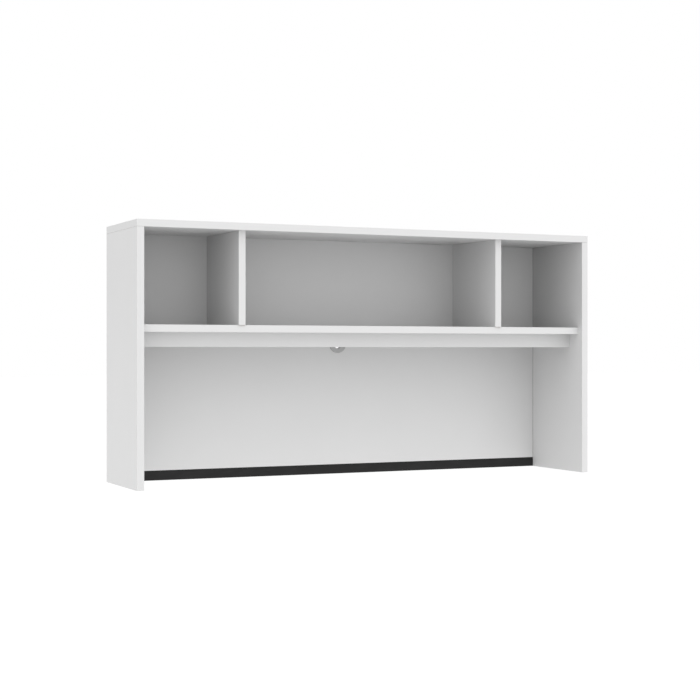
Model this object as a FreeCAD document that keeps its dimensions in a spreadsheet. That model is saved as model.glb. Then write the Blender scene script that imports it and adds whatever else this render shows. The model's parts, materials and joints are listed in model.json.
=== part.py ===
import FreeCAD, Part
import os
import Sketcher

# Open desk hutch: a top over two sides, a shelf with two dividers, an inset back panel with a
# cable grommet, a rail under the shelf and a black cable flap along the back's bottom edge.
# Frame: X to the right, Y to the rear, Z up; the origin is under the middle, on the desk top.

# ---------------------------------------------------------------- driving sizes (millimetres)

SIZES = [
    ("unit_width", 1803.4, "over the two sides"),
    ("unit_depth", 374.65, "front of the sides to their rear"),
    ("unit_height", 914.4, "desk top to the top's upper face"),
    ("panel_thick", 25.4, "top, sides, shelf and dividers"),
    ("back_thick", 19.05, "back panel and rail"),
    ("band_thick", 2.0, "edge banding"),
    ("band_round", 0.9, "radius along the banding's outer edges"),
    ("shelf_top", 560.2, "height of the shelf's upper face"),
    ("shelf_setback", 29.2, "shelf front behind the sides' front"),
    ("divider_setback", 24.2, "divider front behind the sides' front"),
    ("small_cubby_width", 347.7, "clear width of each outer cubby"),
    ("rail_tall", 50.8, "rail under the shelf, bottom to top"),
    ("rail_setback", 88.9, "rail front behind the sides' front"),
    ("dowel_diameter", 8.0, "fluted beech dowel"),
    ("dowel_length", 34.0, "dowel, end to end"),
    ("dowel_in_face", 12.0, "part of a dowel that sits in a panel's face"),
    ("dowel_chamfer", 1.0, "lead-in at a dowel's ends"),
    ("bore_clearance", 0.1, "added to the diameter of a bore that holds a fastener"),
    ("bore_bottom_gap", 1.0, "free depth left past a fastener's end"),
    ("dowel_station_front", 70.0, "front dowel row behind the sides' front"),
    ("dowel_station_rear", 325.0, "rear dowel row behind the sides' front"),
    ("screw_station_front", 132.0, "front screw and cam row behind the sides' front"),
    ("screw_station_rear", 268.0, "rear screw and cam row behind the sides' front"),
    ("rail_dowel_spacing", 24.0, "between the two dowels in a rail end"),
    ("joint_screw_length", 50.0, "joint screw, head to tip"),
    ("joint_screw_head_diameter", 10.0, "joint screw head"),
    ("joint_screw_head_depth", 4.4, "joint screw head with its cone"),
    ("joint_screw_shoulder_diameter", 7.0, "smooth shoulder under the head"),
    ("joint_screw_shoulder_end", 20.0, "end of the shoulder, from the head's top"),
    ("joint_screw_thread_diameter", 5.8, "threaded length"),
    ("joint_screw_socket", 4.0, "hexagon socket across its flats"),
    ("joint_screw_socket_depth", 2.6, "hexagon socket depth"),
    ("cap_diameter", 15.0, "press-in cap over a joint screw"),
    ("cap_thick", 2.5, "press-in cap"),
    ("cap_edge", 0.4, "chamfer on a cap's face"),
    ("cap_well_depth", 3.0, "well for the cap, and where the screw head starts"),
    ("cam_diameter", 15.0, "cam housing"),
    ("cam_setback", 24.0, "cam centre behind the joint"),
    ("cam_past_bolt", 4.0, "cam housing beyond the bolt's centre line"),
    ("cam_slot_long", 9.0, "screwdriver cross in a cam"),
    ("cam_slot_wide", 1.6, "width of that cross's arms"),
    ("cam_slot_depth", 2.0, "depth of that cross"),
    ("cam_bore_diameter", 8.2, "side bore in a cam for the bolt's head"),
    ("cam_bore_past_centre", 4.5, "that bore, past the cam's centre"),
    ("cam_bolt_diameter", 6.8, "cam bolt's neck and head"),
    ("cam_bolt_waist_diameter", 4.2, "waist behind the cam bolt's head"),
    ("cam_bolt_head_long", 3.0, "cam bolt's head"),
    ("cam_bolt_waist_long", 6.0, "waist behind the head"),
    ("cam_bolt_past_centre", 2.0, "bolt head's end past the cam's centre"),
    ("cam_bolt_thread_diameter", 5.0, "thread that bites in the other panel"),
    ("cam_bolt_thread_long", 11.0, "thread length"),
    ("cam_bolt_bore_diameter", 8.0, "bore that the bolt's neck runs through"),
    ("back_cam_low", 110.0, "lowest back cams, above the desk"),
    ("back_cam_middle", 430.0, "middle back cams, above the desk"),
    ("back_cam_high", 780.0, "highest back cams, above the desk"),
    ("back_cam_inner", 230.0, "inner cams at the top, from the middle"),
    ("back_cam_outer", 720.0, "outer cams at the top, from the middle"),
    ("back_screw_length", 45.0, "screw through the back panel"),
    ("back_screw_diameter", 4.0, "its shank"),
    ("back_screw_head_diameter", 8.0, "its wafer head"),
    ("back_screw_head_thick", 2.2, "its wafer head"),
    ("back_screw_well", 2.4, "shallow well for the wafer head"),
    ("back_screw_spacing", 340.0, "between the screws along the shelf"),
    ("back_screw_divider_end", 80.0, "screws in a divider, from its ends"),
    ("bracket_leg", 22.0, "each leg of an angle bracket"),
    ("bracket_wide", 18.0, "an angle bracket along the rail"),
    ("bracket_sheet", 2.0, "steel of an angle bracket"),
    ("bracket_bend", 1.5, "inner radius of the bend"),
    ("bracket_hole_diameter", 4.2, "screw hole in each leg"),
    ("bracket_hole_station", 13.0, "screw hole from the bracket's heel"),
    ("bracket_inner", 250.0, "inner brackets, from the middle"),
    ("bracket_outer", 700.0, "outer brackets, from the middle"),
    ("bracket_screw_length", 15.0, "pan head screw under its head"),
    ("bracket_screw_diameter", 3.5, "pan head screw's shank"),
    ("bracket_screw_head_diameter", 7.0, "pan head"),
    ("bracket_screw_head_thick", 2.2, "pan head"),
    ("foot_hole_diameter", 8.0, "blind holes in the sides' lower edges"),
    ("foot_hole_depth", 25.0, "blind holes in the sides' lower edges"),
    ("foot_hole_spacing", 256.0, "front hole to rear hole"),
    ("strip_tall", 36.5, "black strip, desk top to the back panel's lower edge"),
    ("strip_base_thick", 3.0, "base of the strip under the back panel"),
    ("strip_leg_tall", 4.0, "front leg that carries the flap"),
    ("strip_end_gap", 0.5, "strip's ends off the sides"),
    ("kerf_wide", 3.4, "saw kerf in the back panel's lower edge"),
    ("kerf_depth", 12.0, "saw kerf in the back panel's lower edge"),
    ("rib_wide", 2.4, "strip's rib between its barbs"),
    ("rib_tall", 10.5, "strip's rib above its base"),
    ("flap_thick", 3.0, "rubber flap"),
    ("flap_axis_drop", 1.0, "flap's bending line below the leg"),
    ("flap_groove_clearance", 0.1, "radial room around the flap's rounded head"),
    ("flap_desk_gap", 0.3, "flap's lower edge above the desk"),
    ("flap_end_gap", 1.0, "flap's ends off the sides"),
    ("flap_toe_round", 1.2, "radius along the flap's lower edges"),
    ("grommet_height", 497.0, "centre of the cable grommet above the desk"),
    ("grommet_hole_diameter", 60.0, "hole in the back panel"),
    ("flange_diameter", 70.0, "grommet liner's flange"),
    ("flange_thick", 2.6, "flange proud of the back panel"),
    ("flange_round", 1.2, "radius on the flange's rim"),
    ("barrel_diameter", 59.8, "liner's barrel in the hole"),
    ("barrel_length", 17.4, "barrel behind the flange"),
    ("barrel_bore_diameter", 55.2, "inside of the barrel"),
    ("cap_recess_diameter", 57.12, "recess that the turning cap lies in"),
    ("ledge_diameter", 52.0, "opening of the ledge behind the cap"),
    ("ledge_thick", 1.6, "ledge that the cap's hooks hold on to"),
    ("turning_cap_diameter", 57.0, "turning cap"),
    ("turning_cap_gap", 0.3, "room between the cap and the ledge"),
    ("cable_opening_diameter", 28.0, "round opening in the turning cap"),
    ("cable_opening_drop", 4.0, "opening's centre below the cap's centre"),
    ("cable_opening_round", 0.8, "radius on the opening's front edge"),
    ("skirt_wall", 1.5, "wall of the skirt behind the opening"),
    ("skirt_length", 14.0, "skirt behind the cap"),
    ("hook_radius", 24.3, "inner face of the cap's hooks"),
    ("hook_thick", 1.4, "hook's leg"),
    ("hook_reach", 1.2, "hook's barb beyond its leg"),
    ("hook_angle", 24.0, "each hook, around the cap"),
]

doc = FreeCAD.newDocument("DeskHutch")
sheet = doc.addObject("Spreadsheet::Sheet", "Sizes")
for row, (alias, number, note) in enumerate(SIZES, start=1):
    sheet.set(f"A{row}", note)
    sheet.set(f"B{row}", str(number))
    sheet.setAlias(f"B{row}", alias)
doc.recompute()

# ---------------------------------------------------------------- lengths worked out from them

INNER_WIDTH = "(Sizes.unit_width - 2 * Sizes.panel_thick)"
SIDE_HEIGHT = "(Sizes.unit_height - Sizes.panel_thick)"
SHELF_UNDERSIDE = "(Sizes.shelf_top - Sizes.panel_thick)"
DIVIDER_HEIGHT = f"({SIDE_HEIGHT} - Sizes.shelf_top)"
RAIL_BOTTOM = f"({SHELF_UNDERSIDE} - Sizes.rail_tall)"
BACK_HEIGHT = f"({SIDE_HEIGHT} - Sizes.strip_tall)"

LEFT = "(-Sizes.unit_width / 2)"
INNER_LEFT = f"({LEFT} + Sizes.panel_thick)"
INNER_RIGHT = f"(-{INNER_LEFT})"
FRONT = "(-Sizes.unit_depth / 2)"
REAR = "(Sizes.unit_depth / 2)"
BACK_FACE = f"({REAR} - Sizes.back_thick)"
BACK_MIDDLE = f"({REAR} - Sizes.back_thick / 2)"
RAIL_REAR = f"({FRONT} + Sizes.rail_setback + Sizes.back_thick)"
RAIL_MIDDLE = f"({RAIL_REAR} - Sizes.back_thick / 2)"
DIVIDER_CENTRE = f"({INNER_RIGHT} - Sizes.small_cubby_width - Sizes.panel_thick / 2)"
SIDE_CENTRE = f"({INNER_RIGHT} + Sizes.panel_thick / 2)"
SHELF_MIDDLE = f"({SHELF_UNDERSIDE} + Sizes.panel_thick / 2)"

DOWEL_STATIONS = ["Sizes.dowel_station_front", "Sizes.dowel_station_rear"]
SCREW_STATIONS = ["Sizes.screw_station_front", "Sizes.screw_station_rear"]
BOTH_SIDES = [("left", "-1"), ("right", "1")]

DOWEL_BORE = "(Sizes.dowel_diameter + Sizes.bore_clearance)"
DOWEL_FACE_DEPTH = "(Sizes.dowel_in_face + Sizes.bore_bottom_gap)"
DOWEL_EDGE_DEPTH = "(Sizes.dowel_length - Sizes.dowel_in_face + Sizes.bore_bottom_gap)"

AXIS_PLANES = {"X": ("YZ_Plane", 1), "Y": ("XZ_Plane", -1), "Z": ("XY_Plane", 1)}
DIRECTIONS = {
    "+X": FreeCAD.Vector(1, 0, 0),
    "-X": FreeCAD.Vector(-1, 0, 0),
    "+Y": FreeCAD.Vector(0, 1, 0),
    "-Y": FreeCAD.Vector(0, -1, 0),
    "+Z": FreeCAD.Vector(0, 0, 1),
    "-Z": FreeCAD.Vector(0, 0, -1),
}

nodes = []
cuts = []


# ---------------------------------------------------------------- small tools for all the pieces


def length_of(expression):
    """The number that a size expression gives now."""
    return float(sheet.evalExpression(expression))


def new_body(label):
    """A body whose label is its node's name."""
    body = doc.addObject("PartDesign::Body", label)
    body.Label = label
    return body


def new_node(label, x="0", y="0", z="0"):
    """A body that is written out as a node, with its own origin at x, y, z."""
    body = new_body(label)
    place(body, x, y, z)
    nodes.append(body)
    return body


def place(piece, x, y, z):
    """Tie a piece's position to the sheet."""
    piece.setExpression("Placement.Base.x", x)
    piece.setExpression("Placement.Base.y", y)
    piece.setExpression("Placement.Base.z", z)


def new_sketch(body, name, axis, at="0"):
    """A sketch square to one of the body's axes, at a distance along that axis."""
    plane_role, normal = AXIS_PLANES[axis]
    sketch = body.newObject("Sketcher::SketchObject", name)
    plane = next(item for item in body.Origin.OriginFeatures if item.Role == plane_role)
    sketch.AttachmentSupport = (plane, "")
    sketch.MapMode = "FlatFace"
    sketch.setExpression("AttachmentOffset.Base.z", at if normal > 0 else f"-({at})")
    return sketch


def fix_point(sketch, geometry, which, x, y):
    """Hold one point of a sketch at two size expressions."""
    for kind, axis, expression in (("DistanceX", -2, x), ("DistanceY", -1, y)):
        number = length_of(expression)
        if number == 0:
            sketch.addConstraint(Sketcher.Constraint("PointOnObject", geometry, which, axis))
        else:
            index = sketch.addConstraint(
                Sketcher.Constraint(kind, -1, 1, geometry, which, number)
            )
            sketch.setExpression(f"Constraints[{index}]", expression)


def draw_outline(sketch, points):
    """A closed outline through points given as pairs of size expressions."""
    corners = [FreeCAD.Vector(length_of(x), length_of(y), 0) for x, y in points]
    first = sketch.GeometryCount
    for index, corner in enumerate(corners):
        following = corners[(index + 1) % len(corners)]
        sketch.addGeometry(Part.LineSegment(corner, following))
    for index, (x, y) in enumerate(points):
        following = first + (index + 1) % len(points)
        sketch.addConstraint(Sketcher.Constraint("Coincident", first + index, 2, following, 1))
        fix_point(sketch, first + index, 1, x, y)


def draw_rectangle(sketch, width, height, left="0", bottom="0"):
    """A rectangle from its lower left corner."""
    right = f"({left} + {width})"
    top = f"({bottom} + {height})"
    draw_outline(sketch, [(left, bottom), (right, bottom), (right, top), (left, top)])


def draw_circles(sketch, diameter, centres):
    """Circles of one diameter, each centre a pair of size expressions."""
    for x, y in centres:
        centre = FreeCAD.Vector(length_of(x), length_of(y), 0)
        circle = Part.Circle(centre, FreeCAD.Vector(0, 0, 1), length_of(diameter) / 2)
        geometry = sketch.addGeometry(circle)
        index = sketch.addConstraint(
            Sketcher.Constraint("Diameter", geometry, length_of(diameter))
        )
        sketch.setExpression(f"Constraints[{index}]", diameter)
        fix_point(sketch, geometry, 3, x, y)


def pad(body, sketch, axis, length, name="Pad"):
    """Add material from a sketch towards the growing end of its axis."""
    feature = body.newObject("PartDesign::Pad", name)
    feature.Profile = sketch
    feature.setExpression("Length", length)
    feature.Reversed = AXIS_PLANES[axis][1] < 0
    return feature


def pocket(body, sketch, axis, depth, towards, name="Pocket"):
    """Cut a sketch into the body, towards + or - along the sketch's axis."""
    before = body.Tip
    feature = body.newObject("PartDesign::Pocket", name)
    feature.Profile = sketch
    feature.setExpression("Length", depth)
    feature.Reversed = (towards == "+") == (AXIS_PLANES[axis][1] > 0)
    cuts.append((before, feature))
    return feature


def drill(body, name, axis, at, towards, diameter, depth, centres):
    """Round holes of one size, square to an axis, starting at a distance along it."""
    sketch = new_sketch(body, f"{name}Centres", axis, at)
    draw_circles(sketch, diameter, centres)
    pocket(body, sketch, axis, depth, towards, name)


def board(label, axis, thick, width, height, x, y, z):
    """A flat rectangular panel whose faces are square to an axis."""
    body = new_node(label, x, y, z)
    outline = new_sketch(body, "Outline", axis)
    draw_rectangle(outline, width, height)
    pad(body, outline, axis, thick, "Thickness")
    return body


def turned_profile(body, points, name="Profile"):
    """Turn an outline of (radius, height) pairs around the body's own Z axis."""
    profile = new_sketch(body, f"{name}Sketch", "Y")
    draw_outline(profile, points)
    turning = body.newObject("PartDesign::Revolution", name)
    turning.Profile = profile
    turning.ReferenceAxis = (profile, ["V_Axis"])
    return turning


def edges_where(shape, test):
    """Names of the edges whose middle point and direction pass a test."""
    names = []
    for number, edge in enumerate(shape.Edges, start=1):
        middle = edge.valueAt((edge.FirstParameter + edge.LastParameter) / 2)
        span = edge.Vertexes[-1].Point - edge.Vertexes[0].Point
        if test(middle, span):
            names.append(f"Edge{number}")
    return names


def round_edges(body, radius, test, name="Round"):
    """Fillet the edges of the body's newest feature that pass a test."""
    doc.recompute()
    base = body.Tip
    feature = body.newObject("PartDesign::Fillet", name)
    feature.Base = (base, edges_where(base.Shape, test))
    feature.setExpression("Radius", radius)


def turned(inward, sideways):
    """Rotation that points a piece's own Z inward and its own X sideways."""
    z_axis = DIRECTIONS[inward]
    x_axis = DIRECTIONS[sideways]
    return FreeCAD.Rotation(x_axis, z_axis.cross(x_axis), z_axis, "ZXY")


def copies(label, master, places):
    """A node of identical pieces: each place is x, y, z, inward and sideways directions."""
    links = []
    for number, (x, y, z, inward, sideways) in enumerate(places, start=1):
        link = doc.addObject("App::Link", f"{label}_copy{number}")
        link.LinkedObject = master
        link.Placement = FreeCAD.Placement(FreeCAD.Vector(), turned(inward, sideways))
        place(link, x, y, z)
        links.append(link)
    group = doc.addObject("Part::Compound", label)
    group.Label = label
    group.Links = links
    nodes.append(group)


# ---------------------------------------------------------------- panels


def from_front(station, setback="0"):
    """A station behind the sides' front, measured in a panel whose front is banded."""
    return f"({station} - {setback} - Sizes.band_thick)"


def make_top():
    """The top lies over both sides; it is screwed down from above and doweled."""
    core_width = "(Sizes.unit_width - 2 * Sizes.band_thick)"
    core_depth = "(Sizes.unit_depth - 2 * Sizes.band_thick)"
    body = board(
        "top_panel", "Z", "Sizes.panel_thick", core_width, core_depth,
        f"({LEFT} + Sizes.band_thick)", f"({FRONT} + Sizes.band_thick)", SIDE_HEIGHT,
    )
    middle = f"({core_width} / 2)"
    columns = [
        f"({middle} + {sign} * {centre})"
        for _, sign in BOTH_SIDES
        for centre in (SIDE_CENTRE, DIVIDER_CENTRE)
    ]
    dowels = [(x, from_front(y)) for x in columns for y in DOWEL_STATIONS]
    screws = [(x, from_front(y)) for x in columns for y in SCREW_STATIONS]
    drill(body, "DowelBores", "Z", "0", "+", DOWEL_BORE, DOWEL_FACE_DEPTH, dowels)
    drill_for_joint_screws(body, "Sizes.panel_thick", "-", screws)
    bolts = [
        (f"({middle} + {sign} * {place_across})", f"({BACK_MIDDLE} - {FRONT} - Sizes.band_thick)")
        for _, sign in BOTH_SIDES
        for place_across in ("Sizes.back_cam_inner", "Sizes.back_cam_outer")
    ]
    drill_for_bolt_threads(body, "Z", "0", "+", bolts)


def drill_for_joint_screws(body, face, inward, centres):
    """Stepped holes through a flat panel: a cap well, the screw head and its shoulder."""
    head_bore = "(Sizes.joint_screw_head_diameter + 2 * Sizes.bore_clearance)"
    head_depth = "(Sizes.cap_well_depth + Sizes.joint_screw_head_depth + Sizes.bore_clearance)"
    well = "(Sizes.cap_diameter + Sizes.bore_clearance)"
    shoulder = "(Sizes.joint_screw_shoulder_diameter + Sizes.bore_clearance)"
    drill(body, "ShoulderBores", "Z", face, inward, shoulder, "Sizes.panel_thick", centres)
    drill(body, "HeadBores", "Z", face, inward, head_bore, head_depth, centres)
    drill(body, "CapWells", "Z", face, inward, well, "Sizes.cap_well_depth", centres)


def drill_for_screw_threads(body, at, towards, centres):
    """Pilot holes in a panel's edge for the threads of the joint screws."""
    past_panel = "(Sizes.joint_screw_length + Sizes.cap_well_depth - Sizes.panel_thick)"
    depth = f"({past_panel} + Sizes.bore_bottom_gap)"
    pilot = "(Sizes.joint_screw_thread_diameter + Sizes.bore_clearance)"
    drill(body, f"Pilots{'Up' if towards == '+' else 'Down'}", "Z", at, towards, pilot, depth,
          centres)


def drill_for_bolt_threads(body, axis, at, towards, centres):
    """Small holes that the threads of the cam bolts bite in."""
    depth = "(Sizes.cam_bolt_thread_long + Sizes.bore_bottom_gap)"
    diameter = "(Sizes.cam_bolt_thread_diameter + Sizes.bore_clearance)"
    drill(body, "BoltThreadBores", axis, at, towards, diameter, depth, centres)


def make_side(side):
    """A side stands on the desk and carries the top; shelf, rail and back are fixed between."""
    left_side = side == "left"
    corner = LEFT if left_side else INNER_RIGHT
    core_depth = "(Sizes.unit_depth - 2 * Sizes.band_thick)"
    body = board(
        f"{side}_side_panel", "X", "Sizes.panel_thick", core_depth, SIDE_HEIGHT,
        corner, f"({FRONT} + Sizes.band_thick)", "0",
    )
    mid_thick = "(Sizes.panel_thick / 2)"
    inner_face = "Sizes.panel_thick" if left_side else "0"
    outward = "-" if left_side else "+"

    top_dowels = [(mid_thick, from_front(y)) for y in DOWEL_STATIONS]
    top_screws = [(mid_thick, from_front(y)) for y in SCREW_STATIONS]
    drill(body, "TopDowelBores", "Z", SIDE_HEIGHT, "-", DOWEL_BORE, DOWEL_EDGE_DEPTH, top_dowels)
    drill_for_screw_threads(body, SIDE_HEIGHT, "-", top_screws)

    shelf_dowels = [(from_front(y), SHELF_MIDDLE) for y in DOWEL_STATIONS]
    rail_dowels = [(f"({RAIL_MIDDLE} - {FRONT} - Sizes.band_thick)", z) for z in rail_heights()]
    face_dowels = shelf_dowels + rail_dowels
    drill(body, "FaceDowelBores", "X", inner_face, outward, DOWEL_BORE, DOWEL_FACE_DEPTH,
          face_dowels)

    shelf_bolts = [(from_front(y), SHELF_MIDDLE) for y in SCREW_STATIONS]
    back_bolts = [
        (f"({BACK_MIDDLE} - {FRONT} - Sizes.band_thick)", z) for z in back_cam_heights()
    ]
    drill_for_bolt_threads(body, "X", inner_face, outward, shelf_bolts + back_bolts)

    foot_middle = f"({core_depth} / 2)"
    foot_holes = [
        (mid_thick, f"({foot_middle} + {step} * Sizes.foot_hole_spacing / 2)")
        for step in ("-1", "1")
    ]
    drill(body, "FootHoles", "Z", "0", "+", "Sizes.foot_hole_diameter", "Sizes.foot_hole_depth",
          foot_holes)


def rail_heights():
    """Heights of the two dowels in each end of the rail."""
    middle = f"({RAIL_BOTTOM} + Sizes.rail_tall / 2)"
    return [f"({middle} + {step} * Sizes.rail_dowel_spacing / 2)" for step in ("-1", "1")]


def back_cam_heights():
    """Heights of the cams that pull the back panel to the sides."""
    return ["Sizes.back_cam_low", "Sizes.back_cam_middle", "Sizes.back_cam_high"]


def shelf_screw_columns():
    """Across the hutch: the row of screws through the back into the shelf."""
    return [f"({step} * Sizes.back_screw_spacing)" for step in range(-2, 3)]


def back_screw_places():
    """The screws through the back: a row into the shelf and a pair into each divider."""
    row_places = [(x, SHELF_MIDDLE) for x in shelf_screw_columns()]
    low = "(Sizes.shelf_top + Sizes.back_screw_divider_end)"
    high = f"({SIDE_HEIGHT} - Sizes.back_screw_divider_end)"
    pairs = [(f"({sign} * {DIVIDER_CENTRE})", z) for _, sign in BOTH_SIDES for z in (low, high)]
    return row_places + pairs


def make_shelf():
    """The shelf hangs between the sides and carries the two dividers."""
    core_depth = f"({BACK_FACE} - {FRONT} - Sizes.shelf_setback - Sizes.band_thick)"
    body = board(
        "shelf_panel", "Z", "Sizes.panel_thick", INNER_WIDTH, core_depth,
        INNER_LEFT, f"({FRONT} + Sizes.shelf_setback + Sizes.band_thick)", SHELF_UNDERSIDE,
    )
    mid_thick = "(Sizes.panel_thick / 2)"
    middle = f"({INNER_WIDTH} / 2)"
    divider_columns = [f"({middle} + {sign} * {DIVIDER_CENTRE})" for _, sign in BOTH_SIDES]

    def along(stations):
        return [from_front(station, "Sizes.shelf_setback") for station in stations]

    foot_dowels = [(x, y) for x in divider_columns for y in along(DOWEL_STATIONS)]
    foot_screws = [(x, y) for x in divider_columns for y in along(SCREW_STATIONS)]
    drill(body, "DividerDowelBores", "Z", "Sizes.panel_thick", "-", DOWEL_BORE, DOWEL_FACE_DEPTH,
          foot_dowels)
    drill_for_joint_screws(body, "0", "+", foot_screws)

    end_dowels = [(y, mid_thick) for y in along(DOWEL_STATIONS)]
    drill(body, "LeftDowelBores", "X", "0", "+", DOWEL_BORE, DOWEL_EDGE_DEPTH, end_dowels)
    drill(body, "RightDowelBores", "X", INNER_WIDTH, "-", DOWEL_BORE, DOWEL_EDGE_DEPTH,
          end_dowels)

    end_bolts = [(y, mid_thick) for y in along(SCREW_STATIONS)]
    bolt_bore = "Sizes.cam_bolt_bore_diameter"
    drill(body, "LeftBoltBores", "X", "0", "+", bolt_bore, "Sizes.cam_setback", end_bolts)
    drill(body, "RightBoltBores", "X", INNER_WIDTH, "-", bolt_bore, "Sizes.cam_setback",
          end_bolts)
    cam_columns = ["Sizes.cam_setback", f"({INNER_WIDTH} - Sizes.cam_setback)"]
    cam_wells = [(x, y) for x in cam_columns for y in along(SCREW_STATIONS)]
    drill(body, "CamWells", "Z", "0", "+", cam_well_diameter(), cam_well_depth("Sizes.panel_thick"),
          cam_wells)

    bracket_screws = [
        (f"({middle} + {sign} * {x})",
         f"({RAIL_REAR} - {FRONT} - Sizes.shelf_setback - Sizes.band_thick"
         " + Sizes.bracket_hole_station)")
        for _, sign in BOTH_SIDES
        for x in ("Sizes.bracket_inner", "Sizes.bracket_outer")
    ]
    drill(body, "BracketScrewBores", "Z", "0", "+", bracket_pilot(), "Sizes.bracket_screw_length",
          bracket_screws)

    back_screws = [(f"({x} + {middle})", mid_thick) for x in shelf_screw_columns()]
    drill(body, "BackScrewPilots", "Y", core_depth, "-", back_screw_pilot(),
          back_screw_pilot_depth(), back_screws)


def cam_well_diameter():
    """Bore for a cam housing."""
    return "(Sizes.cam_diameter + Sizes.bore_clearance)"


def cam_well_depth(thick):
    """Depth of a cam housing's bore in a panel of this thickness."""
    return f"({thick} / 2 + Sizes.cam_past_bolt + Sizes.bore_clearance)"


def back_screw_pilot():
    """Pilot hole for a screw that comes through the back panel."""
    return "(Sizes.back_screw_diameter + Sizes.bore_clearance)"


def back_screw_pilot_depth():
    """How far that pilot hole runs past the back panel."""
    sunk = "(Sizes.back_screw_well - Sizes.back_screw_head_thick)"
    past_panel = f"({sunk} + Sizes.back_screw_length - Sizes.back_thick)"
    return f"({past_panel} + Sizes.bore_bottom_gap)"


def bracket_pilot():
    """Pilot hole for a bracket's pan head screw."""
    return "(Sizes.bracket_screw_diameter + Sizes.bore_clearance)"


def make_divider(side, sign):
    """A divider stands on the shelf and holds the top up in the middle."""
    core_depth = f"({BACK_FACE} - {FRONT} - Sizes.divider_setback - Sizes.band_thick)"
    body = board(
        f"{side}_divider_panel", "X", "Sizes.panel_thick", core_depth, DIVIDER_HEIGHT,
        f"({sign} * {DIVIDER_CENTRE} - Sizes.panel_thick / 2)",
        f"({FRONT} + Sizes.divider_setback + Sizes.band_thick)", "Sizes.shelf_top",
    )
    mid_thick = "(Sizes.panel_thick / 2)"
    dowels = [(mid_thick, from_front(y, "Sizes.divider_setback")) for y in DOWEL_STATIONS]
    screws = [(mid_thick, from_front(y, "Sizes.divider_setback")) for y in SCREW_STATIONS]
    drill(body, "FootDowelBores", "Z", "0", "+", DOWEL_BORE, DOWEL_EDGE_DEPTH, dowels)
    drill(body, "TopDowelBores", "Z", DIVIDER_HEIGHT, "-", DOWEL_BORE, DOWEL_EDGE_DEPTH, dowels)
    drill_for_screw_threads(body, "0", "+", screws)
    drill_for_screw_threads(body, DIVIDER_HEIGHT, "-", screws)
    back_screws = [
        (mid_thick, "Sizes.back_screw_divider_end"),
        (mid_thick, f"({DIVIDER_HEIGHT} - Sizes.back_screw_divider_end)"),
    ]
    drill(body, "BackScrewPilots", "Y", core_depth, "-", back_screw_pilot(),
          back_screw_pilot_depth(), back_screws)


def make_back():
    """The back panel stands between the sides, flush with their rear, under the top."""
    body = board(
        "back_panel", "Y", "Sizes.back_thick", INNER_WIDTH, BACK_HEIGHT,
        INNER_LEFT, BACK_FACE, "Sizes.strip_tall",
    )
    middle = f"({INNER_WIDTH} / 2)"
    mid_thick = "(Sizes.back_thick / 2)"

    grommet = [(middle, "(Sizes.grommet_height - Sizes.strip_tall)")]
    drill(body, "GrommetHole", "Y", "0", "+", "Sizes.grommet_hole_diameter", "Sizes.back_thick",
          grommet)

    kerf = new_sketch(body, "KerfOutline", "X", "0")
    kerf_front = "(Sizes.back_thick / 2 - Sizes.kerf_wide / 2)"
    draw_rectangle(kerf, "Sizes.kerf_wide", "Sizes.kerf_depth", kerf_front, "0")
    pocket(body, kerf, "X", INNER_WIDTH, "+", "Kerf")

    heights = [f"({z} - Sizes.strip_tall)" for z in back_cam_heights()]
    bolt_bore = "Sizes.cam_bolt_bore_diameter"
    side_bolts = [(mid_thick, z) for z in heights]
    drill(body, "LeftBoltBores", "X", "0", "+", bolt_bore, "Sizes.cam_setback", side_bolts)
    drill(body, "RightBoltBores", "X", INNER_WIDTH, "-", bolt_bore, "Sizes.cam_setback",
          side_bolts)
    columns = [
        f"({middle} + {sign} * {x})"
        for _, sign in BOTH_SIDES
        for x in ("Sizes.back_cam_inner", "Sizes.back_cam_outer")
    ]
    top_bolts = [(x, mid_thick) for x in columns]
    drill(body, "TopBoltBores", "Z", BACK_HEIGHT, "-", bolt_bore, "Sizes.cam_setback", top_bolts)

    edge_columns = ["Sizes.cam_setback", f"({INNER_WIDTH} - Sizes.cam_setback)"]
    side_cams = [(x, z) for x in edge_columns for z in heights]
    top_cams = [(x, f"({BACK_HEIGHT} - Sizes.cam_setback)") for x in columns]
    drill(body, "CamWells", "Y", "Sizes.back_thick", "-", cam_well_diameter(),
          cam_well_depth("Sizes.back_thick"), side_cams + top_cams)

    screws = [(f"({x} + {middle})", f"({z} - Sizes.strip_tall)") for x, z in back_screw_places()]
    head_bore = "(Sizes.back_screw_head_diameter + 2 * Sizes.bore_clearance)"
    drill(body, "ScrewHoles", "Y", "Sizes.back_thick", "-", back_screw_pilot(),
          "Sizes.back_thick", screws)
    drill(body, "ScrewWells", "Y", "Sizes.back_thick", "-", head_bore, "Sizes.back_screw_well",
          screws)


def make_rail():
    """The rail stiffens the shelf from below, well behind its front."""
    core_tall = "(Sizes.rail_tall - Sizes.band_thick)"
    body = board(
        "rail_panel", "Y", "Sizes.back_thick", INNER_WIDTH, core_tall,
        INNER_LEFT, f"({RAIL_REAR} - Sizes.back_thick)", f"({RAIL_BOTTOM} + Sizes.band_thick)",
    )
    mid_thick = "(Sizes.back_thick / 2)"
    middle = f"({INNER_WIDTH} / 2)"
    ends = [(mid_thick, f"({z} - {RAIL_BOTTOM} - Sizes.band_thick)") for z in rail_heights()]
    drill(body, "LeftDowelBores", "X", "0", "+", DOWEL_BORE, DOWEL_EDGE_DEPTH, ends)
    drill(body, "RightDowelBores", "X", INNER_WIDTH, "-", DOWEL_BORE, DOWEL_EDGE_DEPTH, ends)
    bracket_screws = [
        (f"({middle} + {sign} * {x})", f"({core_tall} - Sizes.bracket_hole_station)")
        for _, sign in BOTH_SIDES
        for x in ("Sizes.bracket_inner", "Sizes.bracket_outer")
    ]
    drill(body, "BracketScrewBores", "Y", "Sizes.back_thick", "-", bracket_pilot(),
          "Sizes.bracket_screw_length", bracket_screws)


# ---------------------------------------------------------------- edge banding


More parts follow.
